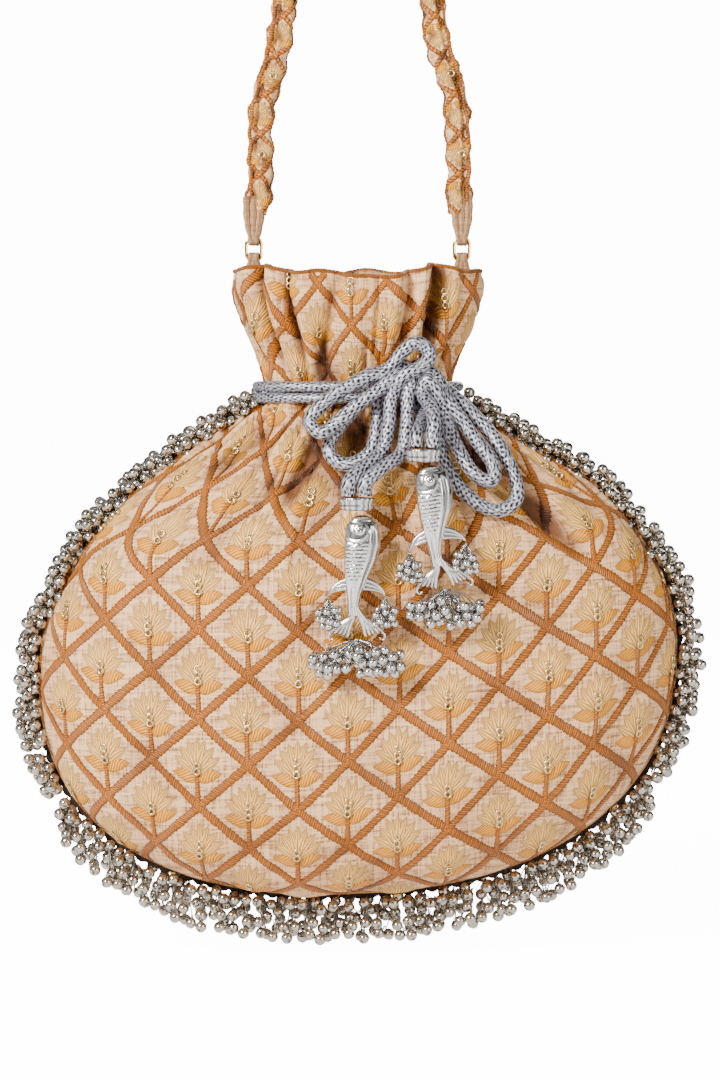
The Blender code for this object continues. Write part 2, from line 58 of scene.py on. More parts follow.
# Heights and the pouch's form, as the frame's panels have them.
LINK_TOP_Z = -0.2335
LINK_DROP = 0.0072
RIM_Z = -0.2450
NECK_Z = -0.2853
BELLY_Z = -0.3771
BOTTOM_Z = -0.4556
BALANCE_Y = 0.0028
BELLY_HALF_WIDTH = 0.1078
BELLY_HALF_DEPTH = 0.0400
TILT = 0.047             # rise of the pouch to its right, reached TILT_FADE below the neck
TILT_FADE = 0.045
SEAM_GAP = 0.0008
ROUND_WIDTH_POWER = 2.3
ROUND_DEPTH_POWER = 2.8
SECTION_POWER = 2.2
UPPER_STATIONS = (
    (-0.2450, 0.0408, 0.0268), (-0.2510, 0.0415, 0.0262), (-0.2608, 0.0390, 0.0235),
    (-0.2710, 0.0345, 0.0205), (-0.2816, 0.0315, 0.0186), (-0.2890, 0.0315, 0.0186),
    (-0.2935, 0.0395, 0.0210), (-0.3057, 0.0595, 0.0270), (-0.3145, 0.0730, 0.0312),
    (-0.3271, 0.0868, 0.0358), (-0.3390, 0.0952, 0.0383), (-0.3526, 0.1027, 0.0396),
    (BELLY_Z, BELLY_HALF_WIDTH, BELLY_HALF_DEPTH),
)

# The embroidery's repeat and the gathers.
REPEAT_X = 0.0332
REPEAT_Z = 0.0298
CROSSING_X = -0.0364
CROSSING_Z = -0.3787
BAND_HALF = 0.00145
NECK_GATHER = 1.9
COLLAR_GATHER = 1.5
FOLD_PITCH = 0.0115
BELL_RADIUS = 0.00205
CORD_DIAMETER = 0.0048
TURN_DIAMETER = 0.0034
LEFT_LINK_X = -0.0352
RIGHT_LINK_X = 0.0350
STRAP_LOOP_RISE = 0.0120


# ---------------------------------------------------------------- materials

class Nodes:
    """Short calls for building one material's nodes."""

    def __init__(self, name):
        self.material = bpy.data.materials.new(name)
        self.material.use_nodes = True
        self.tree = self.material.node_tree
        self.shader = self.tree.nodes["Principled BSDF"]
        self.place = self.add("ShaderNodeUVMap").outputs["UV"]

    def add(self, kind, **settings):
        node = self.tree.nodes.new(kind)
        for key, value in settings.items():
            setattr(node, key, value)
        return node

    def link(self, output, target):
        self.tree.links.new(output, target)

    def set(self, **values):
        for key, value in values.items():
            self.shader.inputs[key.replace("_", " ")].default_value = value

    def noise(self, scale, stretch=(1, 1, 1), detail=3.0, rough=0.55):
        mapping = self.add("ShaderNodeMapping")
        mapping.inputs["Scale"].default_value = stretch
        self.link(self.place, mapping.inputs["Vector"])
        noise = self.add("ShaderNodeTexNoise")
        noise.inputs["Scale"].default_value = scale
        noise.inputs["Detail"].default_value = detail
        noise.inputs["Roughness"].default_value = rough
        self.link(mapping.outputs[0], noise.inputs["Vector"])
        return noise.outputs["Fac"]

    def wave(self, scale, direction="X", stretch=(1, 1, 1), distort=0.0, turn=0.0):
        mapping = self.add("ShaderNodeMapping")
        mapping.inputs["Scale"].default_value = stretch
        mapping.inputs["Rotation"].default_value = (0, 0, turn)
        self.link(self.place, mapping.inputs["Vector"])
        wave = self.add("ShaderNodeTexWave", bands_direction=direction)
        wave.inputs["Scale"].default_value = scale
        wave.inputs["Distortion"].default_value = distort
        wave.inputs["Detail"].default_value = 1.0
        wave.inputs["Detail Scale"].default_value = 1.5
        self.link(mapping.outputs[0], wave.inputs["Vector"])
        return wave.outputs["Fac"]

    def math(self, operation, first, second):
        node = self.add("ShaderNodeMath", operation=operation)
        for value, target in ((first, node.inputs[0]), (second, node.inputs[1])):
            if isinstance(value, (int, float)):
                target.default_value = value
            else:
                self.link(value, target)
        return node.outputs[0]

    def ramp(self, factor, *stops):
        ramp = self.add("ShaderNodeValToRGB")
        elements = ramp.color_ramp.elements
        while len(elements) < len(stops):
            elements.new(0.5)
        for element, (place, colour) in zip(elements, stops):
            element.position = place
            element.color = (*colour, 1.0)
        self.link(factor, ramp.inputs["Fac"])
        return ramp.outputs["Color"]

    def mix(self, factor, first, second, blend="MIX"):
        node = self.add("ShaderNodeMix", data_type="RGBA", blend_type=blend)
        for value, target in ((factor, node.inputs[0]), (first, node.inputs[6]),
                              (second, node.inputs[7])):
            if isinstance(value, tuple):
                target.default_value = (*value, 1.0)
            elif isinstance(value, (int, float)):
                target.default_value = value
            else:
                self.link(value, target)
        return node.outputs[2]

    # The per-point tone attribute: 1 where unshaded, lower where shade is painted in (folds, hollows, stitch
    # and band edges, knit gaps, undersides); on bells it also holds the darker seam line.
    def tone(self):
        return self.add("ShaderNodeAttribute", attribute_name="tone").outputs["Fac"]

    def colour(self, output):
        self.link(output, self.shader.inputs["Base Color"])

    def roughness(self, factor, low, high):
        node = self.add("ShaderNodeMapRange")
        node.inputs["To Min"].default_value = low
        node.inputs["To Max"].default_value = high
        self.link(factor, node.inputs["Value"])
        self.link(node.outputs[0], self.shader.inputs["Roughness"])

    def bump(self, height, distance, strength=1.0):
        node = self.add("ShaderNodeBump")
        node.inputs["Strength"].default_value = strength
        node.inputs["Distance"].default_value = distance
        self.link(height, node.inputs["Height"])
        self.link(node.outputs[0], self.shader.inputs["Normal"])


def silk_material(name, light, dark, painted_shade):
    """Slub silk: crossing threads with thicker ones here and there."""
    make = Nodes(name)
    warp = make.wave(300, "X", distort=4.0)
    weft = make.wave(240, "Y", distort=5.0)
    slub_up = make.noise(1, (900, 60, 1), 3.0, 0.7)
    slub_across = make.noise(1, (55, 700, 1), 3.0, 0.7)
    threads = make.math("ADD", make.math("MULTIPLY", warp, 0.5), make.math("MULTIPLY", weft, 0.5))
    slubs = make.math("ADD", slub_up, make.math("MULTIPLY", slub_across, 1.1))
    height = make.math("ADD", make.math("MULTIPLY", threads, 0.16), slubs)
    woven = make.ramp(make.math("MULTIPLY", height, 0.45), (0.400, dark), (0.545, light))

    patchy = make.mix(make.noise(55, detail=5.0), woven, dark)
    soft = make.mix(0.40, woven, patchy)
    # Painted shade: where the tone is low, in folds and creases, the silk mixes toward its shade colour.
    make.colour(make.mix(make.tone(), painted_shade, soft))
    make.set(Specular_IOR_Level=0.30, Sheen_Weight=0.05, Sheen_Roughness=0.4)
    make.roughness(slubs, 0.42, 0.68)
    make.bump(height, 0.00040, 1.0)
    return make.material


def thread_material(name, light, dark, stitch, direction, turn, painted_shade=0.18):
    """Satin stitch: fine parallel threads with a silky shine."""
    make = Nodes(name)
    threads = make.wave(stitch, direction, distort=1.3, turn=turn)
    stretch = (0.12, 1, 1) if direction == "Y" else (1, 0.12, 1)
    streaks = make.noise(stitch * 3.0, stretch, 3.0)
    patch = make.noise(110, detail=3.0)
    both = make.math("ADD", make.math("MULTIPLY", threads, 0.55), make.math("MULTIPLY", streaks, 0.55))
    tinted = make.ramp(both, (0.26, dark), (0.74, light))
    worn = make.mix(make.math("MULTIPLY", patch, 0.35), tinted, dark)
    # Painted shade: where the tone is low (folds, stitch valleys, band and petal edges) the thread mixes
    # toward a darker copy of its dark colour.
    make.colour(make.mix(make.tone(), tuple(part * painted_shade for part in dark), worn))
    make.set(Specular_IOR_Level=0.32, Sheen_Weight=0.05, Sheen_Roughness=0.35)
    make.roughness(streaks, 0.30, 0.52)
    make.bump(both, 0.00034, 0.95)
    return make.material


def metal_material(name, light, dark, rough=(0.16, 0.34)):
    """Polished metal, darker where its tone is low: painted shade in hollows, slits and undersides, over the
    dark patina in old silver's hollows.
    """
    make = Nodes(name)
    grain = make.noise(900, detail=4.0)
    tone = make.tone()
    aged = make.mix(make.math("MULTIPLY", grain, 0.35), light, dark)
    # Low tone mixes toward the dark colour: painted shade, and on the old silver also its patina.
    make.colour(make.mix(tone, dark, aged))
    make.set(Metallic=1.0)
    make.roughness(make.math("SUBTRACT", make.math("ADD", grain, 0.5), make.math("MULTIPLY", tone, 0.5)),
                   *rough)
    make.bump(grain, 0.00004, 0.35)
    return make.material


def mesh_cord_material():
    """Knitted metallic yarn: bright strands over dark gaps."""
    make = Nodes("knitted_silver")
    yarn = make.noise(1, (90, 9000, 1), 2.0)
    tone = make.tone()
    strand = make.mix(make.math("MULTIPLY", yarn, 0.6), (0.74, 0.73, 0.80), (0.27, 0.26, 0.31))
    shade = make.ramp(tone, (0.30, (0.012, 0.010, 0.010)), (0.95, (1.0, 1.0, 1.0)))
    make.colour(make.mix(1.0, strand, shade, "MULTIPLY"))
    make.set(Metallic=0.55, Specular_IOR_Level=0.6)
    make.roughness(yarn, 0.30, 0.48)
    make.bump(yarn, 0.00010, 0.6)
    return make.material


def cloth_material(name, light, dark, scale=500):
    """Plain woven cotton."""
    make = Nodes(name)
    weave = make.math("MULTIPLY", make.wave(scale, "X"), make.wave(scale, "Y"))
    make.colour(make.mix(make.math("MULTIPLY", weave, 0.8), dark, light))
    make.set(Specular_IOR_Level=0.2)
    make.roughness(make.noise(60), 0.75, 0.92)
    make.bump(weave, 0.0002, 0.7)
    return make.material


SILK = silk_material("slub_silk", (1.0, 0.60, 0.29), (0.30, 0.115, 0.038), (0.12, 0.032, 0.006))
LATTICE = thread_material("lattice_thread", (0.76, 0.235, 0.008), (0.22, 0.048, 0.002), 360, "X", 0.0)
LEAF = thread_material("leaf_thread", (1.0, 0.43, 0.016), (0.44, 0.13, 0.004), 330, "X", 0.7)
PETAL = thread_material("petal_thread", (1.0, 0.63, 0.18), (0.46, 0.165, 0.018), 330, "Y", 0.0, 0.4)
GOLD = metal_material("gold_rings", (1.0, 0.74, 0.34), (0.22, 0.12, 0.03))
GOLD_PLAIN = metal_material("gold_link", (0.90, 0.60, 0.20), (0.80, 0.48, 0.13), (0.10, 0.18))
BELL = metal_material("bell_metal", (0.68, 0.62, 0.53), (0.055, 0.042, 0.032), (0.10, 0.24))
BELL_BRIGHT = metal_material("charm_bell_metal", (0.80, 0.78, 0.75), (0.05, 0.045, 0.04), (0.08, 0.2))
CAST = metal_material("cast_silver_metal", (0.90, 0.88, 0.84), (0.05, 0.04, 0.032), (0.10, 0.26))
WIRE = metal_material("dark_wire", (0.34, 0.30, 0.25), (0.04, 0.03, 0.025), (0.2, 0.4))
KNIT = mesh_cord_material()
COTTON = cloth_material("lining_weave", (0.66, 0.53, 0.38), (0.44, 0.33, 0.21))
TAPE = cloth_material("tape_weave", (0.090, 0.060, 0.040), (0.030, 0.020, 0.014), 900)


# ---------------------------------------------------------------- meshes

class Pile:
    """Gathers many small shapes into one mesh."""

    def __init__(self):
        self.points, self.quads, self.uvs, self.tones, self.total = [], [], [], [], 0

    def add(self, points, quads, uvs=None, tones=None):
        points = np.asarray(points, float).reshape(-1, 3)
        self.points.append(points)
        self.quads.append(np.asarray(quads, int) + self.total)
        self.uvs.append(np.zeros((len(points), 2)) if uvs is None else np.asarray(uvs).reshape(-1, 2))
        self.tones.append(np.ones(len(points)) if tones is None else np.asarray(tones).reshape(-1))
        self.total += len(points)

    def grid(self, points, uvs=None, tones=None, close_rows=False, close_columns=False):
        rows, columns = points.shape[:2]
        self.add(points, grid_quads(rows, columns, close_rows, close_columns), uvs, tones)

    def build(self, name, material, node_slot, body="bag"):
        mesh = bpy.data.meshes.new(name)
        points = np.concatenate(self.points)
        faces = [face[:3] if face[2] == face[3] else face
                 for face in np.concatenate(self.quads).tolist()]
        mesh.from_pydata(points.tolist(), [], faces)
        corner = np.empty(len(mesh.loops), int)
        mesh.loops.foreach_get("vertex_index", corner)
        layer = mesh.uv_layers.new(name="UVMap")
        layer.data.foreach_set("uv", np.concatenate(self.uvs)[corner].ravel())
        tone = mesh.attributes.new("tone", "FLOAT", "POINT")
        tone.data.foreach_set("value", np.concatenate(self.tones))
        mesh.shade_smooth()
        mesh.materials.append(material)
        piece = bpy.data.objects.new(name, mesh)
        bpy.context.scene.collection.objects.link(piece)
        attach(piece, body)
        return piece


def grid_quads(rows, columns, close_rows=False, close_columns=False):
    """Quads of a grid, in the order of its rows."""
    row = np.arange(rows if close_rows else rows - 1)[:, None]
    column = np.arange(columns if close_columns else columns - 1)[None, :]
    next_row = (row + 1) % rows
    next_column = (column + 1) % columns
    corners = (row * columns + column, row * columns + next_column,
               next_row * columns + next_column, next_row * columns + column)
    return np.stack(np.broadcast_arrays(*corners), -1).reshape(-1, 4)


def smooth_curve(points, spacing):
    """Points evenly spaced on a smooth curve through a route's own points."""
    route = np.asarray(points, float)
    route = np.vstack((2 * route[0] - route[1], route, 2 * route[-1] - route[-2]))
    part = (np.arange(16) / 16)[:, None]
    pieces = []
    for before, start, end, after in zip(route, route[1:], route[2:], route[3:]):
        pieces.append(0.5 * (2 * start + (end - before) * part
                             + (2 * before - 5 * start + 4 * end - after) * part**2
                             + (3 * start - before - 3 * end + after) * part**3))
    fine = np.vstack(pieces + [route[-2]])
    lengths = np.concatenate(([0], np.cumsum(np.linalg.norm(np.diff(fine, axis=0), axis=1))))
    places = np.linspace(0, lengths[-1], max(3, round(lengths[-1] / spacing) + 1))
    return np.stack([np.interp(places, lengths, fine[:, axis]) for axis in range(3)], 1), places


def frames_along(path):
    """Side and lift directions that turn as little as possible along a path."""
    tangents = np.gradient(path, axis=0)
    tangents /= np.linalg.norm(tangents, axis=1, keepdims=True)
    side = np.cross(tangents[0], (0.0, 1.0, 0.0))
    if np.linalg.norm(side) < 0.1:
        side = np.cross(tangents[0], (1.0, 0.0, 0.0))
    sides = []
    for tangent in tangents:
        side = side - tangent * side.dot(tangent)
        side = side / np.linalg.norm(side)
        sides.append(side)
    sides = np.array(sides)
    return sides, np.cross(tangents, sides)


def add_wire(pile, path, radius, sides=6, closed=False, tone=1.0):
    """A thin round wire along a path; radius may vary along it."""
    path = np.asarray(path, float)
    across, lift = frames_along(path)
    turn = 2 * np.pi * np.arange(sides) / sides
    radius = np.broadcast_to(radius, (len(path),))[:, None, None]
    ring = across[:, None] * np.cos(turn)[None, :, None] + lift[:, None] * np.sin(turn)[None, :, None]
    points = path[:, None] + ring * radius
    along = np.linspace(0, 1, len(path))[:, None] + 0 * turn
    uvs = np.stack((along, 0 * along + turn / 6.3 * 0.01), -1)
    start = pile.total
    pile.grid(points, uvs, np.full(points.shape[:2], tone), closed, True)
    if not closed:
        last = (len(path) - 1) * sides
        for base in (0, last):
            fan = [[base, base + k, base + k + 1, base + k + 1] for k in range(1, sides - 1)]
            pile.quads.append(np.array(fan) + start)


# ---------------------------------------------------------------- the pouch's cloth

def upper_sizes(heights):
    """Half width and half depth above the widest line."""
    rows = np.array(UPPER_STATIONS)[::-1]
    levels = rows[:, 0]
    index = np.clip(np.searchsorted(levels, heights) - 1, 0, len(levels) - 2)
    step = levels[index + 1] - levels[index]
    part = ((heights - levels[index]) / step)[..., None]
    slopes = np.gradient(rows[:, 1:], levels, axis=0)
    slopes[0] = 0.0
    share = 2 * part**3 - 3 * part**2 + 1
    return (share * rows[index, 1:] + (1 - share) * rows[index + 1, 1:]
            + (part**3 - 2 * part**2 + part) * slopes[index] * step[..., None]
            + (part**3 - part**2) * slopes[index + 1] * step[..., None])


def pouch_sizes(heights):
    """Half width and half depth of the pouch at each height."""
    heights = np.asarray(heights, float)
    upper = upper_sizes(np.maximum(heights, BELLY_Z))
    drop = np.clip((BELLY_Z - heights) / (BELLY_Z - BOTTOM_Z), 0, 1 - 1e-9)
    below = heights < BELLY_Z
    width = np.where(below, BELLY_HALF_WIDTH * (1 - drop**ROUND_WIDTH_POWER)**(1 / ROUND_WIDTH_POWER),
                     upper[..., 0])
    depth = np.where(below, BELLY_HALF_DEPTH * (1 - drop**ROUND_DEPTH_POWER)**(1 / ROUND_DEPTH_POWER),
                     upper[..., 1])
    return width, depth


def smoothstep(value):
    value = np.clip(value, 0, 1)
    return value * value * (3 - 2 * value)


def section_table():
    """Place across a section (0 to 1) for its share of arc, for a range of depth-to-width ratios."""
    ratios = np.linspace(0.15, 1.1, 60)
    angle = np.linspace(0, np.pi / 2, 400)
    across = np.sin(angle)
    bulge = (1 - across**SECTION_POWER)**(1 / SECTION_POWER)
    shares = np.linspace(0, 1, 161)
    table, arcs = [], []
    for ratio in ratios:
        steps = np.hypot(np.diff(across), ratio * np.diff(bulge))
        arc = np.concatenate(([0], np.cumsum(steps)))
        arcs.append(arc[-1])
        table.append(np.interp(shares, arc / arc[-1], across))
    return ratios, shares, np.array(table), np.array(arcs)


RATIOS, SHARES, ACROSS_TABLE, ARC_TABLE = section_table()
LEVELS = np.concatenate((BELLY_Z - (BELLY_Z - BOTTOM_Z) * np.cos(np.linspace(0, np.pi / 2, 500)),
                         np.linspace(BELLY_Z, RIM_Z, 700)[1:]))
LEVEL_DEPTHS = pouch_sizes(LEVELS)[1]
LEVEL_RISE = np.concatenate(([0], np.cumsum(np.hypot(np.diff(LEVELS), np.diff(LEVEL_DEPTHS)))))
LEVEL_RISE -= np.interp(CROSSING_Z, LEVELS, LEVEL_RISE)


def gather(heights):
    """How many times wider the flat cloth is than the pouch there."""
    at_neck = 1 + (NECK_GATHER - 1) * smoothstep((heights + 0.338) / (NECK_Z + 0.338))
    above = smoothstep((heights - NECK_Z - 0.003) / 0.016)
    return at_neck + (COLLAR_GATHER - NECK_GATHER) * above


def flat_half_width(heights):
    width, depth = pouch_sizes(heights)
    ratio = np.clip(depth / width, RATIOS[0], RATIOS[-1])
    return gather(heights) * width * np.interp(ratio, RATIOS, ARC_TABLE)


def hashed(index, salt):
    """A repeatable value from 0 to 1 for each fold."""
    return np.modf(np.abs(np.sin(index * 12.9898 + salt * 78.233) * 43758.5453))[0]


def fold_height(across, heights, side):
    """How far gathers, ruffles and creases lift the cloth off the pouch's plain form."""
    flat = across * flat_half_width(np.full_like(heights, NECK_Z)) * (0.78 + 0.22 * (heights < NECK_Z))
    phase = flat / FOLD_PITCH + 0.33 * np.sin(flat * 210 + side) + 0.2 * np.sin(flat * 83 + 2 * side)
    fold = np.floor(phase)
    ridge = np.abs(np.sin(np.pi * phase))**0.62
    reach = 0.018 + 0.040 * hashed(fold, 1.0 + side)
    below = np.clip(NECK_Z - heights, 0, None)
    fade_below = np.exp(-(below / reach)**2)
    above = np.clip(heights - NECK_Z, 0, None)
    ruffle_phase = flat / (FOLD_PITCH * 1.65) + 0.4 * np.sin(flat * 120 + 2.0 * side)
    ruffle = np.abs(np.sin(np.pi * ruffle_phase))**0.8
    open_share = smoothstep(above / 0.022)
    size = 0.0042 * (0.55 + 0.45 * hashed(fold, 3.0 + side)) * fade_below
    height = (ridge - 0.72) * size * (1 - 0.65 * open_share)
    height += (ruffle - 0.62) * 0.0078 * open_share * (0.75 + 0.25 * np.sin(flat * 95 + side))
    edge = 1 - np.abs(across)**10
    return height * edge


def crease(x, z, start, end, width, depth):
    """A groove along a line, deepest in its middle."""
    start, end = np.array(start), np.array(end)
    along = end - start
    length = np.hypot(*along)
    part = ((x - start[0]) * along[0] + (z - start[1]) * along[1]) / length**2
    away = ((x - start[0]) * -along[1] + (z - start[1]) * along[0]) / length
    fade = smoothstep((part + 0.25) / 0.45) * smoothstep((1.25 - part) / 0.45)
    return -depth * fade * np.exp(-(away / width)**2)


FRONT_CREASES = (
    ((-0.0100, -0.2920), (-0.0240, -0.3220), 0.0030, 0.0034),
    ((0.0000, -0.2920), (-0.0020, -0.3180), 0.0034, 0.0046),
    ((0.0110, -0.2920), (0.0150, -0.3110), 0.0028, 0.0034),
    ((0.0300, -0.2960), (0.0620, -0.3260), 0.0034, 0.0030),
    ((0.0560, -0.3210), (0.0740, -0.3370), 0.0032, 0.0026),
    ((-0.0260, -0.2930), (-0.0480, -0.3120), 0.0028, 0.0026),
    ((-0.0290, -0.3110), (-0.0420, -0.3330), 0.0040, 0.0018),
    ((0.0230, -0.3260), (0.0330, -0.3560), 0.0055, 0.0014),
)


class Cloth:
    """One panel: shares of the flat cloth (across, height) to points in space."""

    def __init__(self, side):
        self.side = side

    def plain(self, across, heights):
        width, depth = pouch_sizes(heights)
        ratio = np.clip(depth / np.maximum(width, 1e-6), RATIOS[0], RATIOS[-1])
        row = (ratio - RATIOS[0]) / (RATIOS[1] - RATIOS[0])
        column = np.abs(across) * (len(SHARES) - 1)
        row_low = np.clip(row.astype(int), 0, len(RATIOS) - 2)
        column_low = np.clip(column.astype(int), 0, len(SHARES) - 2)
        row_part = row - row_low
        column_part = column - column_low
        lower = (ACROSS_TABLE[row_low, column_low] * (1 - column_part)
                 + ACROSS_TABLE[row_low, column_low + 1] * column_part)
        upper = (ACROSS_TABLE[row_low + 1, column_low] * (1 - column_part)
                 + ACROSS_TABLE[row_low + 1, column_low + 1] * column_part)
        share = np.clip(lower * (1 - row_part) + upper * row_part, 0, 1)
        x = width * share * np.sign(across)
        bulge = (1 - share**SECTION_POWER)**(1 / SECTION_POWER)
        y = BALANCE_Y + self.side * (SEAM_GAP + depth * bulge)
        fade = smoothstep((NECK_Z - heights) / TILT_FADE)
        return np.stack((x, y, heights + TILT * x * fade), -1)

    def lift(self, across, heights, points):
        height = fold_height(across, heights, self.side)
        x, z = points[..., 0], points[..., 2]
        if self.side < 0:
            for start, end, width, depth in FRONT_CREASES:
                height = height + crease(x, z, start, end, width, depth)
            pulled = np.exp(-((x - 0.0065) / 0.0100)**2) * smoothstep((heights + 0.284) / 0.036)
            height = height + 0.0058 * pulled
            for slit in (-0.0105, 0.0235):
                sunk = np.exp(-((x - slit - 0.2 * (heights + 0.265)) / 0.0026)**2)
                height = height - 0.0034 * sunk * smoothstep((heights + 0.288) / 0.012)
        swell = 0.0007 * np.sin(x * 120 + z * 60) * np.sin(z * 95 - x * 40)
        ripple = np.sin(x * 310 - z * 170 + 2 * np.sin(z * 120))
        swell = swell + 0.00035 * ripple * np.sin(z * 260 + x * 90)
        return height + (swell + self.puff(across, heights)) * (1 - np.abs(across)**8)

    def puff(self, across, heights):
        """The slight padding of each trellis cell between its sunken bands."""
        u = across * flat_half_width(heights)
        v = np.interp(heights, LEVELS, LEVEL_RISE) - row_pull(u) + TILT * u
        first = (u - CROSSING_X) / REPEAT_X - v / REPEAT_Z
        second = (u - CROSSING_X) / REPEAT_X + v / REPEAT_Z
        return 0.00105 * (np.abs(np.sin(np.pi * first) * np.sin(np.pi * second)))**0.5 - 0.0007

    def point(self, across, heights, raised=0.0):
        """Points on the folded cloth, raised off it along its own normal, and those normals."""
        step = 0.00045
        heights = np.clip(heights, BOTTOM_Z + 2e-5, RIM_Z)
        width = np.maximum(pouch_sizes(heights)[0], 0.002)
        crest = smoothstep((heights + 0.263) / 0.018)
        spots = []
        for push_x, push_z in ((0, 0), (step, 0), (-step, 0), (0, step), (0, -step)):
            spot_across = np.clip(across + push_x / width, -1, 1)
            spot_height = np.clip(heights + push_z, BOTTOM_Z + 1e-5, RIM_Z)
            plain = self.plain(spot_across, spot_height)
            spots.append((plain, self.lift(spot_across, spot_height, plain)))
        plain, lift = spots[0]
        first = self.normal([spot for spot, _ in spots])
        moved = [spot + first * height[..., None] for spot, height in spots]
        second = self.normal(moved)
        points = moved[0] + second * np.broadcast_to(raised, across.shape)[..., None]
        points[..., 2] += crest * self.rim_wave(across)
        return points, second

    def rim_wave(self, across):
        """How far the mouth's edge rises and dips."""
        wave = np.sin(across * 5.3 + 0.9 * self.side) * 0.0011 + np.sin(across * 17 + self.side) * 0.0007
        if self.side < 0:
            wave = wave - 0.0030 * np.exp(-((across - 0.17) / 0.12)**2)
        return wave * (1 - across**8)

    def normal(self, spots):
        normal = np.cross(spots[1] - spots[2], spots[3] - spots[4]) * -self.side
        return normal / np.maximum(np.linalg.norm(normal, axis=-1, keepdims=True), 1e-12)

    def locate(self, u, v):
        return flat_to_cloth(u, v)

    def shade(self, across, heights):
        """Darkening down in the folds: 1 outside, less in the deepest valleys."""
        lift = self.lift(across, heights, self.plain(across, heights))
        return np.clip(1.0 + np.minimum(lift + 0.0002, 0) / 0.0026, 0.05, 1)


def row_pull(u):
    """How far the gathers have drawn the pattern's rows up, away from the middle."""
    right = np.clip(u + 0.0204, 0, None)
    left = np.clip(-0.0204 - u, 0, None)
    return 0.0186 * (right / 0.0915)**1.43 + 0.0030 * (left / 0.065)**2


def flat_to_cloth(u, v):
    """Flat pattern coordinates to a share across the panel and a height on it."""
    lifted = v + row_pull(u) - TILT * u
    heights = np.interp(lifted, LEVEL_RISE, LEVELS, left=BOTTOM_Z - 1, right=RIM_Z + 1)
    inside = (heights >= BOTTOM_Z + 0.0004) & (heights <= RIM_Z)
    heights = np.clip(heights, BOTTOM_Z + 0.0004, RIM_Z)
    across = u / flat_half_width(heights)
    return across, heights, inside & (np.abs(across) < 0.985)


PANEL_CUT = (2 * float(flat_half_width(LEVELS).max()), float(LEVEL_RISE[-1] - LEVEL_RISE[0]) + 0.010)
PANEL_AREA = float(np.sum((flat_half_width(LEVELS)[1:] + flat_half_width(LEVELS)[:-1])
                          * np.diff(LEVEL_RISE)))


def build_panel(cloth, name, node, columns, rows):
    """The silk of one panel, with its edge turned in at the rim."""
    share = np.sin(np.linspace(-np.pi / 2, np.pi / 2, columns) * 0.92) / np.sin(np.pi / 2 * 0.92)
    lower = BELLY_Z - (BELLY_Z - BOTTOM_Z - 2e-5) * np.sin(np.linspace(np.pi / 2, 0, rows // 2 - 10))
    upper = np.linspace(BELLY_Z, RIM_Z, rows - len(lower) + 1)[1:]
    across, heights = np.meshgrid(share, np.concatenate((lower, upper)))
    points, normals = cloth.point(across, heights)
    uvs = np.stack((across * flat_half_width(heights), np.interp(heights, LEVELS, LEVEL_RISE)), -1)
    tones = cloth.shade(across, heights)
    rim = points[-1]
    inner = rim - normals[-1] * 0.0011
    hem, _ = cloth.point(across[-1], np.full(columns, RIM_Z - 0.009), -0.0013)
    rolled = np.stack((rim + np.array((0, 0, 0.0006)) - normals[-1] * 0.0003,
                       inner + np.array((0, 0, 0.0004)), hem))
    points = np.concatenate((points, rolled))
    uvs = np.concatenate((uvs, uvs[-1:] + np.array((0, 0.0008)), uvs[-1:] + np.array((0, 0.0016)),
                          uvs[-1:] + np.array((0, 0.010))))
    # The turned-in hem is painted darker, as shade inside the mouth.
    tones = np.concatenate((tones, tones[-1:], tones[-1:] * 0.8, tones[-1:] * 0.4))
    pile = Pile()
    pile.grid(points, uvs, tones)
    piece = pile.build(name, SILK, "embroidered_silk")
    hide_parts(node)


def add_lattice_line(pile, cloth, u, v, half, step=None):
    """One embroidered band along a line of the flat pattern."""
    across, heights, inside = cloth.locate(u, v)
    edges = np.flatnonzero(np.diff(np.concatenate(([0], inside.astype(int), [0]))))
    for first, last in zip(edges[::2], edges[1::2]):
        if last - first < 6:
            continue
        run_u, run_v = u[first:last], v[first:last]
        along = np.gradient(np.stack((run_u, run_v), 1), axis=0)
        along /= np.linalg.norm(along, axis=1, keepdims=True)
        place = np.arange(len(run_u)) * (step or BAND_STEP)
        profile = np.array((-1.0, -0.78, -0.3, 0.3, 0.78, 1.0))
        stitch = 2 * np.pi * place / BAND_STITCH
        ragged = (1 + 0.15 * np.sin(stitch)[:, None] * np.sign(profile)
                  + 0.08 * np.sin(place * 700)[:, None])
        offset = profile * half * ragged
        flat_u = run_u[:, None] - along[:, 1:2] * offset
        flat_v = run_v[:, None] + along[:, 0:1] * offset
        spot_across, spot_heights, _ = cloth.locate(flat_u, flat_v)
        spot_across = np.clip(spot_across, -1, 1)
        ridge = 0.5 + 0.5 * np.cos(stitch[:, None] + 1.9 * profile)
        crown = np.array((0.02, 0.24, 0.44, 0.44, 0.24, 0.02)) * MM
        raised = crown + 0.20 * MM * ridge * (np.abs(profile) < 0.9)
        points, _ = cloth.point(spot_across, spot_heights, raised)
        uvs = np.stack((place[:, None] + 0.45 * offset, offset + 0 * place[:, None]), -1)
        shade = cloth.shade(spot_across, spot_heights)
        # Painted shade: the stitch valleys, and the band's edges where it meets the cloth, get a darker tone,
        # on top of the folds' shade.
        edge = np.where(np.abs(profile) > 0.9, 0.10, np.where(np.abs(profile) > 0.5, 0.72, 1.0))
        pile.grid(points, uvs, shade * (0.50 + 0.50 * ridge) * edge)


BAND_STEP = 0.00056
BAND_STITCH = 0.00168
PETAL_REACH = 0.965      # how far across a panel a petal, or a ring, may lie
RING_REACH = 0.96
COLLAR_RING_REACH = 0.86


def build_lattice(cloth, name, coarse=1.0):
    """The trellis of crossing embroidered bands."""
    pile = Pile()
    reach = 0.33
    step = BAND_STEP * coarse
    slant = math.hypot(REPEAT_X, REPEAT_Z)
    v = np.arange(-reach, reach, step * REPEAT_Z / slant)
    for direction in (1, -1):
        for line in range(-13, 14):
            u = CROSSING_X + REPEAT_X * line + direction * REPEAT_X / REPEAT_Z * v
            add_lattice_line(pile, cloth, u, v, BAND_HALF, step)
    return pile.build(name, LATTICE, "embroidered_silk")


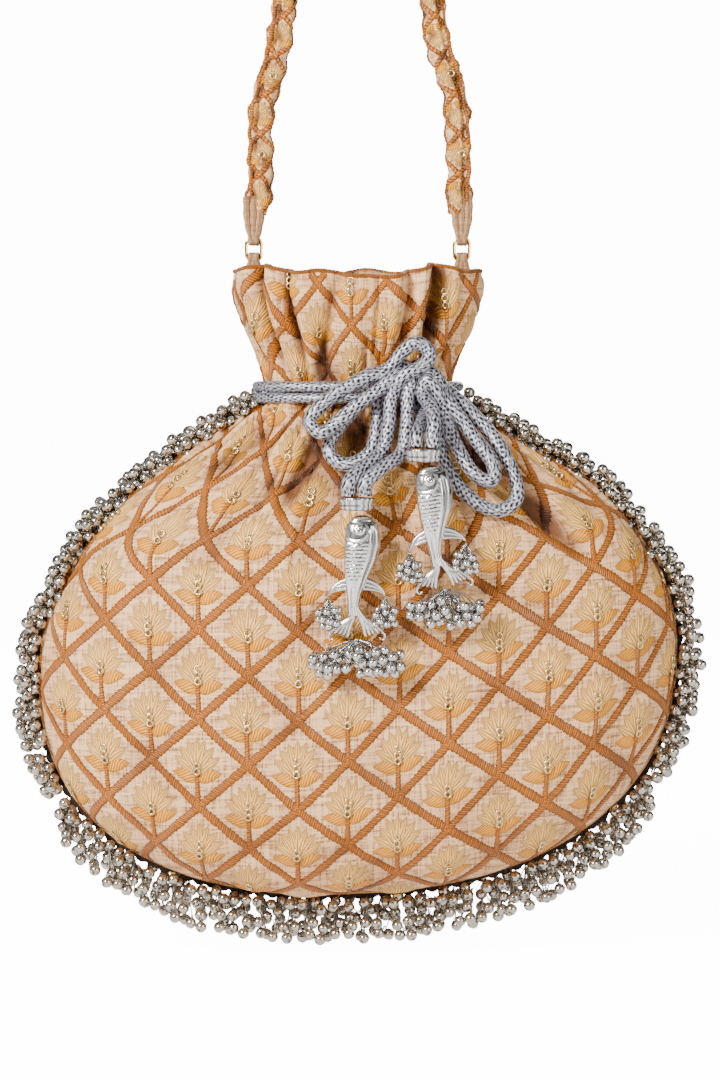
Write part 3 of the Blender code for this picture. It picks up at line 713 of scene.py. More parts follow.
def petal_shape(start, tip, half, bow=0.0):
    """Flat grid of a pointed petal between two points, with its outline and crown."""
    start, tip = np.array(start), np.array(tip)
    along = tip - start
    side = np.array((-along[1], along[0]))
    part = np.linspace(0, 1, 9)[:, None]
    across = np.array((-1.0, -0.55, 0.0, 0.55, 1.0))[None, :]
    swell = np.sin(np.pi * part**0.8)**0.8
    spread = half * swell / np.hypot(*along)
    centre = start + along * part[..., None] + side * (bow * np.sin(np.pi * part))[..., None]
    flat = centre + side * (across * spread)[..., None]
    crown = (1 - across**2) * swell
    uv = np.stack(np.broadcast_arrays(part * np.hypot(*along), across * half), -1)
    return flat, crown, uv


def add_petal(pile, cloth, centre, shape, height, scale=1.0):
    flat, crown, uv = shape
    across, heights, inside = cloth.locate(centre[0] + scale * flat[..., 0],
                                           centre[1] + scale * flat[..., 1])
    if not inside.all() or (cloth is not STRAP and np.abs(across).max() > PETAL_REACH):
        return
    raised = (crown * height) - 0.00004
    points, _ = cloth.point(across, heights, raised)
    shade = cloth.shade(across, heights) * (0.45 + 0.55 * np.sqrt(crown))
    pile.grid(points, uv, shade)


LEAVES = (
    petal_shape((-0.0002, -0.0062), (-0.0086, -0.0030), 0.0025, -0.10),
    petal_shape((0.0002, -0.0062), (0.0088, -0.0026), 0.0025, 0.10),
)
PETALS = (
    petal_shape((-0.0003, -0.0036), (-0.0080, 0.0026), 0.0021, -0.05),
    petal_shape((0.0003, -0.0036), (0.0082, 0.0028), 0.0021, 0.05),
    petal_shape((-0.0002, -0.0030), (-0.0060, 0.0060), 0.0022, -0.05),
    petal_shape((0.0002, -0.0030), (0.0062, 0.0062), 0.0022, 0.05),
    petal_shape((-0.0002, -0.0026), (-0.0031, 0.0082), 0.0021, -0.03),
    petal_shape((0.0002, -0.0026), (0.0031, 0.0084), 0.0021, 0.03),
    petal_shape((0.0, -0.0022), (0.0002, 0.0094), 0.0019),
)


def motif_centres():
    """Flat pattern coordinates of the middle of each trellis cell."""
    centres = []
    for row in range(-24, 25):
        for column in range(-14, 15):
            shift = 0.5 * (row % 2)
            centres.append((CROSSING_X + REPEAT_X * (column + 0.5 + shift), REPEAT_Z * row / 2))
    return centres


def build_motifs(cloth, label):
    """Leaves, petals, stems and ring sequins of every cell."""
    leaves, petals, stems, rings = Pile(), Pile(), Pile(), Pile()
    for number, centre in enumerate(motif_centres()):
        across, heights, inside = flat_to_cloth(np.array([centre[0]]), np.array([centre[1]]))
        if not inside[0]:
            continue
        wobble = (hashed(number, 5.0) - 0.5) * 0.0008
        centre = (centre[0] + wobble, centre[1] + (hashed(number, 6.0) - 0.5) * 0.0008)
        for shape in LEAVES:
            add_petal(leaves, cloth, centre, shape, 0.00060)
        for layer, shape in enumerate(PETALS):
            add_petal(petals, cloth, centre, shape, 0.00042 + 0.00006 * layer)
        stem_v = np.arange(-0.0140, -0.0026, BAND_STEP)
        add_lattice_line(stems, cloth, centre[0] + 0 * stem_v, centre[1] + stem_v, 0.00086)
        for ring in range(3):
            if ring == 2 and number % 3 == 0:
                continue
            middle = (centre[0] + 0.0002 * math.sin(number * 5 + ring),
                      centre[1] - 0.0023 + 0.0021 * ring)
            add_ring_sequin(rings, cloth, middle, ring)
    leaves.build(f"{label}_leaves", LEAF, "embroidered_silk")
    petals.build(f"{label}_petals", PETAL, "embroidered_silk")
    stems.build(f"{label}_stems", LATTICE, "embroidered_silk")
    rings.build(f"{label}_ring_sequins", GOLD, "gold_wire")


def add_ring_sequin(pile, cloth, middle, number):
    """One gilt ring, lying on the cloth."""
    turn = 2 * np.pi * np.arange(12) / 12
    across, heights, inside = cloth.locate(np.array([middle[0]]), np.array([middle[1]]))
    in_collar = cloth is not STRAP and heights[0] > NECK_Z
    if not inside[0] or abs(across[0]) > (COLLAR_RING_REACH if in_collar else RING_REACH):
        return
    point, normal = cloth.point(across, heights, 0.00100 + 0.00022 * (number % 2))
    normal = normal[0]
    upward = np.array((0.0, 0.0, 1.0)) - normal * normal[2]
    upward /= np.linalg.norm(upward)
    side = np.cross(upward, normal)
    tilt = 0.16 * math.sin(number * 2.1 + middle[0] * 900)
    normal_tilted = normal * math.cos(tilt) + upward * math.sin(tilt)
    upward = np.cross(normal_tilted, side)
    circle = side * np.cos(turn)[:, None] + upward * np.sin(turn)[:, None]
    wire = 2 * np.pi * np.arange(4) / 4 + 0.785
    radial = 0.00104 + 0.00038 * np.cos(wire)[None, :, None]
    points = (point[0] + circle[:, None] * radial
              + normal_tilted * (0.00022 * np.sin(wire))[None, :, None])
    # Painted shade: the side of the ring wire toward the cloth gets a darker tone than the side facing out.
    pile.grid(points, None, np.broadcast_to(0.75 + 0.25 * np.sin(wire), (len(turn), 4)), True, True)


# ---------------------------------------------------------------- lining and tape

def build_rim_edging():
    """The satin-stitched edge of the mouth."""
    pile = Pile()
    for cloth in (FRONT, BACK):
        across = np.linspace(-0.99, 0.99, 420)
        points, normals = cloth.point(across, np.full_like(across, RIM_Z))
        beat = 0.00078 + 0.00012 * np.sin(np.arange(420) * 1.9)
        add_wire(pile, points - normals * 0.0004 + np.array((0, 0, 0.0003)), beat, 8, False, 0.85)
    pile.build("rim_edging", LATTICE, "embroidered_silk")


def build_lining():
    """The cotton lining inside the mouth and down the pouch."""
    pile = Pile()
    for cloth in (FRONT, BACK):
        side = cloth.side
        across, heights = np.meshgrid(np.linspace(-1, 1, 81),
                                      np.concatenate((np.linspace(BOTTOM_Z + 0.004, NECK_Z, 30),
                                                      np.linspace(NECK_Z, RIM_Z - 0.0012, 22)[1:])))
        points, _ = cloth.point(across, heights, -0.0022)
        points[..., 1] = np.where(side * (points[..., 1] - BALANCE_Y) < 0, BALANCE_Y, points[..., 1])
        uvs = np.stack((across * 0.1, heights), -1)
        pile.grid(points if side < 0 else points[:, ::-1], uvs,
                  np.clip(1 + (heights - RIM_Z) / 0.06, 0.15, 1))
    lining = pile.build("cotton_lining", COTTON, "lining_cotton")
    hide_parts("lining")


def seam_line(count):
    """The seam from the left of the neck round the bottom to the right of the neck."""
    heights = np.concatenate((np.linspace(NECK_Z - 0.004, BELLY_Z, 90)[:-1],
                              BELLY_Z + (BOTTOM_Z - BELLY_Z) * np.sin(np.linspace(0, np.pi / 2, 120))))
    width = pouch_sizes(heights)[0]
    fade = smoothstep((NECK_Z - heights) / TILT_FADE)
    left = np.stack((-width, 0 * width, heights - TILT * width * fade), 1)
    right = np.stack((width, 0 * width, heights + TILT * width * fade), 1)
    fine = np.concatenate((left, right[-2::-1]))
    lengths = np.concatenate(([0], np.cumsum(np.linalg.norm(np.diff(fine, axis=0), axis=1))))
    places = np.linspace(0, lengths[-1], count)
    path = np.stack([np.interp(places, lengths, fine[:, axis]) for axis in range(3)], 1)
    along = np.gradient(path, axis=0)
    along = np.stack([np.convolve(np.pad(along[:, axis], 4, mode="edge"), np.ones(9) / 9, "valid")
                      for axis in range(3)], 1)
    along /= np.linalg.norm(along, axis=1, keepdims=True)
    away = np.stack((along[:, 2], 0 * along[:, 0], -along[:, 0]), 1)
    path[:, 1] = BALANCE_Y
    return path, away, along, lengths[-1]


def build_tape():
    """The tape in the seam: a flat band with small loops along its edge."""
    count = 700
    path, away, _, length = seam_line(count)
    place = np.linspace(0, length, count)
    scallop = 0.0010 * np.abs(np.sin(np.pi * place / 0.0042))
    pile = Pile()
    for face in (-1, 1):
        reach = np.stack((np.full(count, -0.0012), np.full(count, 0.0012), 0.0020 + scallop), 1)
        points = path[:, None] + away[:, None] * reach[..., None]
        points[..., 1] += face * np.array((0.0005, 0.00045, 0.0001))
        uvs = np.stack(np.broadcast_arrays(place[:, None], reach), -1)
        pile.grid(points if face < 0 else points[:, ::-1], uvs)
    tape = pile.build("seam_tape", TAPE, "dark_tape")
    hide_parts("trim_tape")
    piping = Pile()
    for side in (-1, 1):
        rope = path + away * 0.0004
        rope[:, 1] += side * 0.0007
        add_wire(piping, rope[::2], 0.00062, 7)
    piping.build("seam_edging", SILK, "embroidered_silk")


# ---------------------------------------------------------------- bells

def bell_shape():
    """Points, faces and tones of one small round bell, with its slit below."""
    rings, sides = 9, 10
    turn = 2 * np.pi * np.arange(sides) / sides
    angle = np.linspace(0.10, np.pi - 0.10, rings)
    radius = BELL_RADIUS * np.sin(angle)
    height = BELL_RADIUS * np.cos(angle)
    equator = np.abs(angle - np.pi / 2) < 0.25
    radius = np.where(equator, radius * 1.035, radius)
    points = np.stack((radius[:, None] * np.cos(turn), radius[:, None] * np.sin(turn),
                       np.repeat(height[:, None], sides, 1)), -1)
    tones = np.ones((rings, sides))
    slit = (angle[:, None] > 2.15) & (np.abs(np.sin(turn))[None, :] < 0.3)
    points[slit] *= 0.93
    # The slit and the lower pole are painted near black, as shade inside the hollow bell; the equator's
    # darker band is the bell's seam line.
    tones[slit] = 0.05
    tones[equator] = 0.8
    poles = np.array(((0, 0, BELL_RADIUS), (0, 0, -BELL_RADIUS)))
    faces = grid_quads(rings, sides, False, True).tolist()
    total = rings * sides
    for side in range(sides):
        following = (side + 1) % sides
        faces.append([total, following, side, side])
        base = (rings - 1) * sides
        faces.append([total + 1, base + side, base + following, base + following])
    return np.vstack((points.reshape(-1, 3), poles)), np.array(faces), np.append(tones.ravel(), (1, 0.2))


BELL_POINTS, BELL_FACES, BELL_TONES = bell_shape()


def turned(axis, spin):
    """Rotation whose third axis points along axis."""
    axis = np.asarray(axis, float) / np.linalg.norm(axis)
    other = np.array((1.0, 0.0, 0.0)) if abs(axis[0]) < 0.8 else np.array((0.0, 1.0, 0.0))
    first = np.cross(other, axis)
    first /= np.linalg.norm(first)
    second = np.cross(axis, first)
    mixed = first * math.cos(spin) + second * math.sin(spin)
    return np.stack((mixed, np.cross(axis, mixed), axis), 1)


def add_bell(pile, centre, upward, spin, size=1.0):
    matrix = turned(upward, spin)
    points = BELL_POINTS * size @ matrix.T + centre
    uvs = BELL_POINTS[:, :2] + np.array((spin * 0.01, centre[0]))
    pile.add(points, BELL_FACES, uvs, BELL_TONES)


def add_loop(pile, centre, upward, spin, half_width, half_length, wire, count=12):
    """An oval wire ring."""
    turn = 2 * np.pi * np.arange(count) / count
    matrix = turned(upward, spin)
    flat = np.stack((half_width * np.cos(turn), 0 * turn, half_length * np.sin(turn)), 1)
    add_wire(pile, flat @ matrix.T + centre, wire, 4, True)


def settle(centres, anchors, keep_in, rounds=70):
    """Push overlapping bells apart while their places are pulled back to where they hang."""
    centres = centres.copy()
    diameter = 2 * BELL_RADIUS * 1.01
    for _ in range(rounds):
        gap = centres[:, None] - centres[None, :]
        distance = np.linalg.norm(gap, axis=-1) + np.eye(len(centres))
        push = np.clip(diameter - distance, 0, None) / distance
        np.fill_diagonal(push, 0)
        centres += 0.42 * (gap * push[..., None]).sum(1)
        centres += 0.06 * (anchors - centres)
        centres = keep_in(centres)
    return centres


def trim_bells():
    """Places of the seam's bells: bunches that hang from the tape and hug the seam."""
    random = np.random.default_rng(7)
    count = 2000
    path, away, along, length = seam_line(count)
    step = 0.0050
    starts, places = [], []
    for number in range(int(length / step)):
        index = int((number + 0.5) * step / length * (count - 1))
        downward = max(0.0, -away[index][2])
        shoulder = max(0.0, away[index][2])
        bunch = 8 if downward > 0.55 else 7
        for bell in range(bunch):
            out = 0.0022 + 0.0056 * random.random()
            drop = 0.0
            if downward > 0.55:
                out = 0.0036
                drop = 0.0030 * random.random() + 0.0034 * (bell % 4) - 0.0008
            elif shoulder > 0.35:
                out = 0.0006 + 0.0060 * random.random()
            sideways = (random.random() - 0.5) * 0.0050
            depth = ((bell % 3) - 1) * 0.0046 + (random.random() - 0.5) * 0.003
            place = (path[index] + away[index] * out + along[index] * sideways
                     + np.array((0, depth, -drop - 0.0012 * (1 - downward))))
            starts.append(path[index] + away[index] * 0.0026)
            places.append(place)
    return np.array(starts), np.array(places), path, away


def build_trim():
    """Every bell along the seam, with its wires, in three stretches."""
    starts, places, path, away = trim_bells()
    fine = path[::8]
    outward = away[::8]

    def keep_in(centres):
        gap = centres[:, None, [0, 2]] - fine[None, :, [0, 2]]
        nearest = np.argmin((gap**2).sum(-1), 1)
        local = centres - fine[nearest]
        out = (local * outward[nearest]).sum(1)
        shoulder = outward[nearest][:, 2] > 0.25
        least = np.where(shoulder, -0.0022, 0.0010)
        inside = np.clip(-out, 0, None)
        least_depth = np.where(out < 0.0034, 0.0034 + 1.6 * inside, 0.0)
        depth = centres[:, 1] - BALANCE_Y
        side = np.where(depth < 0, -1.0, 1.0)
        centres[:, 1] = BALANCE_Y + side * np.clip(np.abs(depth), least_depth, 0.0098)
        bottom = np.clip(-outward[nearest][:, 2], 0, 1)
        most = 0.0088 + 0.0080 * bottom**2
        centres += outward[nearest] * (np.clip(out, least, most) - out)[:, None]
        return centres

    settled = settle(places, places, keep_in)
    random = np.random.default_rng(3)
    stretches = {"left": Pile(), "bottom": Pile(), "right": Pile()}
    wires = Pile()
    for start, place in zip(starts, settled):
        key = "left" if place[0] < -0.060 else ("right" if place[0] > 0.060 else "bottom")
        upward = start - place
        distance = np.linalg.norm(upward)
        upward = upward / max(distance, 1e-6) + random.normal(0, 0.35, 3)
        add_bell(stretches[key], place, upward, random.random() * 6.3, 0.96 + 0.06 * random.random())
        up = upward / np.linalg.norm(upward)
        add_loop(wires, place + up * (BELL_RADIUS + 0.0004), up, random.random() * 6.3,
                 0.00055, 0.00085, 0.00020, 6)
        if distance > 0.0050:
            middle = (start + place) / 2 + random.normal(0, 0.0003, 3)
            link, _ = smooth_curve((start, middle, place + up * BELL_RADIUS), 0.0020)
            add_wire(wires, link, 0.00024, 4)
    trims = [f"bell_trim_{number:02d}" for number in range(1, 19)]
    shares = {"left": trims[:6], "bottom": trims[6:12], "right": trims[12:]}
    for key, pile in stretches.items():
        piece = pile.build(f"seam_bells_{key}", BELL, "antique_silver")
        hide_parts(*shares[key])
    wires.build("seam_bell_wires", WIRE, "antique_silver")


# ---------------------------------------------------------------- drawstrings

LEFT_EAR_A = (
    (0.0100, -0.0322, -0.2775), (0.0030, -0.0332, -0.2800), (-0.0050, -0.0340, -0.2845),
    (-0.0120, -0.0350, -0.2895), (-0.0158, -0.0358, -0.2945), (-0.0120, -0.0372, -0.2985),
    (-0.0060, -0.0372, -0.2945), (0.0008, -0.0360, -0.2885), (0.0080, -0.0340, -0.2835),
)
LEFT_EAR_B = (
    (0.0072, -0.0270, -0.2818), (-0.0008, -0.0278, -0.2905), (-0.0085, -0.0305, -0.3000),
    (-0.0090, -0.0330, -0.3060), (-0.0030, -0.0345, -0.3090), (0.0040, -0.0335, -0.3050),
    (0.0062, -0.0315, -0.2970), (0.0068, -0.0290, -0.2905), (0.0092, -0.0272, -0.2868),
)
RIGHT_EAR_A = (
    (0.0262, -0.0255, -0.2815), (0.0340, -0.0262, -0.2885), (0.0440, -0.0290, -0.2990),
    (0.0510, -0.0325, -0.3110), (0.0522, -0.0355, -0.3200), (0.0460, -0.0372, -0.3240),
    (0.0370, -0.0370, -0.3200), (0.0298, -0.0350, -0.3110), (0.0266, -0.0318, -0.3000),
    (0.0262, -0.0282, -0.2895),
)
RIGHT_EAR_B = (
    (0.0258, -0.0300, -0.2800), (0.0300, -0.0330, -0.2885), (0.0370, -0.0350, -0.2985),
    (0.0440, -0.0378, -0.3080), (0.0440, -0.0398, -0.3140), (0.0385, -0.0395, -0.3122),
    (0.0338, -0.0372, -0.3055), (0.0302, -0.0350, -0.2975), (0.0272, -0.0340, -0.2905),
)
TAIL_1_A = (
    (0.0111, -0.0330, -0.2868), (0.0102, -0.0357, -0.2960), (0.0076, -0.0388, -0.3050),
    (0.0010, -0.0445, -0.3100), (-0.0028, -0.0478, -0.3145), (-0.0030, -0.0480, -0.3188),
)
TAIL_1_B = (
    (0.0164, -0.0340, -0.2872), (0.0161, -0.0368, -0.2960), (0.0143, -0.0403, -0.3050),
    (0.0075, -0.0454, -0.3100), (0.0026, -0.0478, -0.3145), (0.0023, -0.0480, -0.3188),
)
TAIL_2_A = (
    (0.0194, -0.0275, -0.2878), (0.0214, -0.0305, -0.2920), (0.0211, -0.0380, -0.2953),
    (0.0190, -0.0470, -0.2990), (0.0188, -0.0480, -0.3029),
)
TAIL_2_B = (
    (0.0212, -0.0345, -0.2855), (0.0236, -0.0395, -0.2895), (0.0248, -0.0455, -0.2940),
    (0.0243, -0.0478, -0.2990), (0.0241, -0.0480, -0.3029),
)
# How each cord runs through the knot: from the first tail to the left ear, on to the neck,
# back from the neck to the right ear, and on to the second tail.
KNOT_A = (
    ((0.0150, -0.0348, -0.2800), (0.0212, -0.0338, -0.2765), (0.0236, -0.0322, -0.2722),
     (0.0192, -0.0325, -0.2690), (0.0145, -0.0328, -0.2722)),
    ((0.0135, -0.0320, -0.2792), (0.0165, -0.0275, -0.2800), (0.0140, -0.0238, -0.2822)),
    ((0.0190, -0.0240, -0.2812), (0.0180, -0.0272, -0.2775), (0.0225, -0.0275, -0.2768)),
    ((0.0245, -0.0272, -0.2838), (0.0208, -0.0265, -0.2822)),
)
KNOT_B = (
    ((0.0172, -0.0325, -0.2805), (0.0150, -0.0288, -0.2762), (0.0102, -0.0275, -0.2780)),
    ((0.0120, -0.0268, -0.2825), (0.0135, -0.0238, -0.2845)),
    ((0.0200, -0.0235, -0.2858), (0.0190, -0.0285, -0.2830), (0.0218, -0.0315, -0.2788)),
    ((0.0262, -0.0352, -0.2850), (0.0228, -0.0350, -0.2812)),
)
TURN_START = math.radians(-76)
TURN_SWEEP = math.radians(330)
TURN_PITCH = 0.0038
TURN_CLEARANCE = 0.0020
TURN_POINTS = 34
STITCH_LENGTH = 0.0033
STITCHES_ROUND = 10
CORD_RING_STEP = 0.00048
CORD_SIDES = 36
PRESSED_RADIUS = 0.00182   # the cord is pressed thinner where it is drawn round the neck


def neck_turn(level):
    """Points of one turn of cord round the neck."""
    width, depth = (float(part) for part in pouch_sizes(NECK_Z))
    reach = TURN_DIAMETER / 2 + TURN_CLEARANCE
    turn = TURN_START - TURN_SWEEP * np.arange(TURN_POINTS) / (TURN_POINTS - 1)
    across = np.cos(turn)
    bulge = (1 - np.abs(across)**SECTION_POWER)**(1 / SECTION_POWER)
    return np.stack(((width + reach) * across, np.sign(np.sin(turn)) * (depth + reach) * bulge,
                     np.full(TURN_POINTS, NECK_Z + level)), 1)


def cord_route(tail_1, left_ear, right_ear, tail_2, knot, level):
    """A whole cord's route, charm to charm, and where on it the neck's turn lies."""
    before = np.vstack((tail_1[::-1], knot[0], left_ear, knot[1]))
    after = np.vstack((knot[2], right_ear, knot[3], tail_2))
    route = np.vstack((before, neck_turn(level), after))
    route[:, 1] += BALANCE_Y
    return route, len(before), len(before) + TURN_POINTS


def build_cord(name, parts, level, replaced):
    """A knitted metallic cord: two crossing sets of strands in relief on a soft tube."""
    route, first, last = cord_route(*parts, level)
    path, places = smooth_curve(route, CORD_RING_STEP)
    across, lift = frames_along(path)
    start = places[np.argmin(np.linalg.norm(path - route[first], axis=1))]
    end = places[np.argmin(np.linalg.norm(path - route[last - 1], axis=1))]
    thin = smoothstep((places - start) / 0.006) * smoothstep((end - places) / 0.006)
    radius = CORD_DIAMETER / 2 * (1 - thin) + PRESSED_RADIUS * thin
    turn = 2 * np.pi * np.arange(CORD_SIDES) / CORD_SIDES
    phase = 2 * np.pi * places[:, None] / STITCH_LENGTH
    along = places[:, None]
    wander = (1.0 * np.sin(along * 410 + 2 * turn) + 0.8 * np.sin(along * 1130 - 3 * turn + 1)
              + 0.5 * np.sin(along * 1900 + 4 * turn))
    one = np.cos(STITCHES_ROUND * turn + phase + wander)
    two = np.cos(STITCHES_ROUND * turn - phase + 0.8 * wander + 0.9)
    three = np.cos(4 * turn + 1.7 * phase - wander)
    uneven = np.sin(along * 2600 + 5 * turn) * np.sin(along * 900 - 3 * turn)
    strand = np.clip(np.maximum(np.maximum(one, two), 0.8 * three) + 0.45 * uneven - 0.12, -0.2, 1)
    slack = 1 + 0.035 * np.sin(places[:, None] * 310) + 0.03 * np.sin(2 * turn + places[:, None] * 160)
    reach = radius[:, None] * slack * (0.885 + 0.115 * strand)
    ring = across[:, None] * np.cos(turn)[None, :, None] + lift[:, None] * np.sin(turn)[None, :, None]
    uvs = np.stack(np.broadcast_arrays(turn * 0.0024, places[:, None]), -1)
    pile = Pile()
    pile.grid(path[:, None] + ring * reach[..., None], uvs, (strand + 0.2) / 1.2, False, True)
    cord = pile.build(name, KNIT, "silver_mesh_cord")
    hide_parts(*replaced)


def build_cords():
    """Both drawstrings, each from one charm through bow and neck to the other charm."""
    for letter, parts, level in (
            ("a", (TAIL_1_A, LEFT_EAR_A, RIGHT_EAR_A, TAIL_2_A, KNOT_A), TURN_PITCH / 2),
            ("b", (TAIL_1_B, LEFT_EAR_B, RIGHT_EAR_B, TAIL_2_B, KNOT_B), -TURN_PITCH / 2)):
        replaced = [f"drawstring_{letter}_{stretch}"
                    for stretch in ("left_ear", "right_ear", "left_tail", "right_tail", "turn")]
        if letter == "a":
            replaced.append("bow_knot")
        build_cord(f"drawstring_cord_{letter}", parts, level, replaced)


# ---------------------------------------------------------------- charms

CHARMS = ((1, (-0.0004, -0.0480, -0.3250), 0.0), (2, (0.0214, -0.0480, -0.3092), math.radians(10)))
FISH_LENGTH = 0.0400
FIN_REACH = 0.0092
FIN_DROP = 0.0268


def charm_place(points, top, lean):
    """Points of a charm, moved from its hanging point at the origin to where it hangs."""
    points = np.asarray(points, float)
    x = points[..., 0] * math.cos(lean) - points[..., 2] * math.sin(lean)
    z = points[..., 0] * math.sin(lean) + points[..., 2] * math.cos(lean)
    return np.stack((x, points[..., 1], z), -1) + np.array(top) + np.array((0, BALANCE_Y, 0))


def fish_body(top, lean, pile):
    """The cast body: eye, gill, scaled belly and the long ridges that sweep to the tail."""
    share = np.linspace(0, 1, 110)[:, None]
    turn = 2 * np.pi * np.arange(72)[None, :] / 72
    stations = (0, 0.05, 0.14, 0.28, 0.45, 0.62, 0.78, 0.90, 1)
    half_width = np.interp(share, stations, np.array((3.2, 4.9, 5.7, 6.0, 5.4, 3.9, 2.4, 1.8, 2.2)) * MM)
    half_depth = np.interp(share, stations, np.array((0.7, 2.0, 3.0, 3.1, 2.9, 2.4, 1.8, 1.4, 1.2)) * MM)
    centre = np.interp(share, stations, np.array((1.6, 1.8, 2.0, 1.9, 1.2, 0.0, -0.9, -1.1, -0.8)) * MM)
    soft = np.ones(9) / 9
    for column in (half_width, half_depth, centre):
        column[:, 0] = np.convolve(np.pad(column[:, 0], 4, mode="edge"), soft, "valid")
    across = np.cos(turn)
    front = np.abs(np.sin(turn))
    x = centre + half_width * across
    z = -0.0006 - FISH_LENGTH * 0.80 * share - 0.0014 * (1 - front) * np.exp(-share / 0.05)
    relief = np.zeros_like(x)
    down = -z / MM
    sideways = across * half_width / MM
    eye = np.hypot(sideways + 1.0, down - 4.3)
    relief += 0.42 * np.exp(-((eye - 1.25) / 0.30)**2) + 0.40 * np.exp(-(eye / 0.62)**2)
    gill = np.hypot(sideways + 2.2, down - 4.8)
    relief -= 0.34 * np.exp(-((gill - 4.4) / 0.26)**2) * (sideways < 2.6) * (down > 5)
    relief += 0.26 * np.exp(-((gill - 3.8) / 0.34)**2) * (sideways < 2.6) * (down > 5)
    crown = np.exp(-((down - 1.3) / 0.42)**2) - 0.8 * np.exp(-((down - 2.3) / 0.3)**2)
    relief += 0.26 * crown * (np.abs(across) < 0.8)
    scaly = smoothstep((down - 8.6) / 1.2) * smoothstep((25 - down) / 6) * smoothstep((0.28 - across) / 0.1)
    row = down * 0.82
    cell = np.abs(np.sin(np.pi * row)) * np.abs(np.sin(np.pi * (sideways * 0.62 + 0.5 * np.floor(row))))
    relief += scaly * (0.34 * np.sqrt(cell) - 0.16)
    ridge = smoothstep((down - 3.0) / 3)
    for place, size in ((0.40, 0.42), (0.62, -0.32), (0.80, 0.36), (-0.92, 0.2)):
        relief += size * ridge * np.exp(-((across - place) / 0.095)**2)
    rays = smoothstep((share - 0.66) / 0.12)
    relief += 0.20 * rays * np.cos(across * 8.5)
    relief *= smoothstep(front / 0.30)
    y = np.sin(turn) * (half_depth + relief * MM)
    points = np.stack((x, y, z), -1)
    # Sunken relief gets a darker tone and raised relief a lighter one: painted shade in the hollows over the
    # silver's dark patina; the lid under the cap is painted darker too.
    tone = np.clip(0.92 + relief * 2.6, 0.02, 1)
    uvs = np.stack(np.broadcast_arrays(0.0 * share + turn * 0.003, share * 0.04 + 0 * turn), -1)
    pile.grid(charm_place(points, top, lean), uvs, tone, False, True)
    lid = charm_place(np.stack((x[0], y[0] * 0.2, z[0] + 0.0006 * front[0]), -1), top, lean)
    pile.grid(np.stack((lid, charm_place(points[0], top, lean))), None, np.full((2, 72), 0.6), False, True)


def fish_fins(top, lean, pile):
    """Tail lobes and side fins, each a fan of tapering ribs; the tail lobes end in curls."""
    ribs = []
    for sign in (-1, 1):
        for rib in range(5):
            spread = rib / 4
            ribs.append((((sign * 0.0004 - 0.0008, -0.0300), (sign * (0.0012 + 0.0012 * spread), -0.0335),
                          (sign * (0.0022 + 0.0036 * spread), -0.0362 + 0.0004 * spread),
                          (sign * (0.0030 + 0.0054 * spread), -0.0398 + 0.0018 * spread)), 0.00105))
        ribs.append((((sign * 0.0078, -0.0378), (sign * 0.0092, -0.0392), (sign * 0.0086, -0.0408),
                      (sign * 0.0074, -0.0400)), 0.0006))
        for rib in range(3):
            ribs.append((((sign * 0.0016, -0.0205 - 0.0016 * rib), (sign * 0.0052, -0.0218 - 0.0012 * rib),
                          (sign * 0.0078, -0.0238 - 0.0006 * rib), (sign * 0.0092, -0.0262)), 0.0009))
    for number, (rib, radius) in enumerate(ribs):
        points = np.array([(x, 0.0003 * ((number % 3) - 1), z) for x, z in rib])
        path, places = smooth_curve(charm_place(points, top, lean), 0.0005)
        taper = radius * (1.0 - 0.55 * places / places[-1])
        add_wire(pile, path, taper, 8, False, 0.85)


def build_cap_fitting(number, top):
    """The cap over two cord ends, with its flutes."""
    pile = Pile()
    levels = np.array((0.0056, 0.0058, 0.0052, 0.0044, 0.0032, 0.0024, 0.0017, 0.0014, 0.0014))
    swell = np.array((0.80, 1.00, 1.08, 0.98, 0.94, 0.98, 0.90, 0.62, 0.0))
    turn = 2 * np.pi * np.arange(56) / 56
    flute = 1 + 0.05 * np.cos(14 * turn)[None, :] * (np.arange(9)[:, None] > 1)
    x = 0.0054 * swell[:, None] * np.cos(turn) * flute
    y = 0.0034 * swell[:, None] * np.sin(turn) * flute
    points = np.stack((x, y, np.repeat(levels[:, None], 56, 1)), -1)
    points = points + np.array(top) + np.array((0, BALANCE_Y, 0))
    # The flutes' grooves get a darker tone and their ridges a lighter one: painted shade, over the silver's
    # patina.
    tone = np.clip(0.72 + 10 * (flute - 1) + 0 * x, 0, 1)
    pile.grid(points, np.stack(np.broadcast_arrays(turn * 0.003, levels[:, None]), -1), tone, False, True)
    cap = pile.build(f"cap_{number}", CAST, "cast_silver")
    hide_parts(f"cord_cap_{number}")


def build_bunch(number, part, ring, half_size, count, size, top, lean):
    """One bunch of small bells on a ring; it swings from the ring."""
    random = np.random.default_rng(10 * number + len(part))
    ring = charm_place(np.array(ring), top, lean)
    half = np.array(half_size)
    middle = ring - np.array((0, 0, half[2] * 1.12))
    inner = np.maximum(half - BELL_RADIUS * size, 0.0006)
    spread = random.uniform(-1, 1, (count, 3))
    spread[:, 0] = np.linspace(-1, 1, count)
    places = middle + spread * inner * (1.0, 0.7, 0.7)
    scale = 1 / size

    def keep_in(centres):
        gap = (centres / scale - middle) / inner
        gap[:, 0] = np.clip(gap[:, 0], -1, 1)
        reach = np.linalg.norm(gap[:, 1:], axis=1) / np.sqrt(1.02 - 0.62 * gap[:, 0]**2)
        gap[:, 1:] /= np.maximum(reach, 1)[:, None]
        return (middle + gap * inner) * scale

    centres = settle(places * scale, places * scale, keep_in, 90) / scale
    pile = Pile()
    for centre in centres:
        upward = ring - centre + random.normal(0, 0.0012, 3)
        add_bell(pile, centre, upward, random.random() * 6.3, size)
        knee = ring * 0.45 + centre * 0.55 + random.normal(0, 0.0005, 3)
        up = upward / np.linalg.norm(upward) * BELL_RADIUS * size
        add_wire(pile, smooth_curve((ring, knee, centre + up), 0.0010)[0], 0.00022, 5, False, 0.4)
    bunch = pile.build(f"bells_{number}_{part}", BELL_BRIGHT, "cast_silver", f"fish_{number}_{part}_bells")
    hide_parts(f"fish_{number}_{part}_bells")


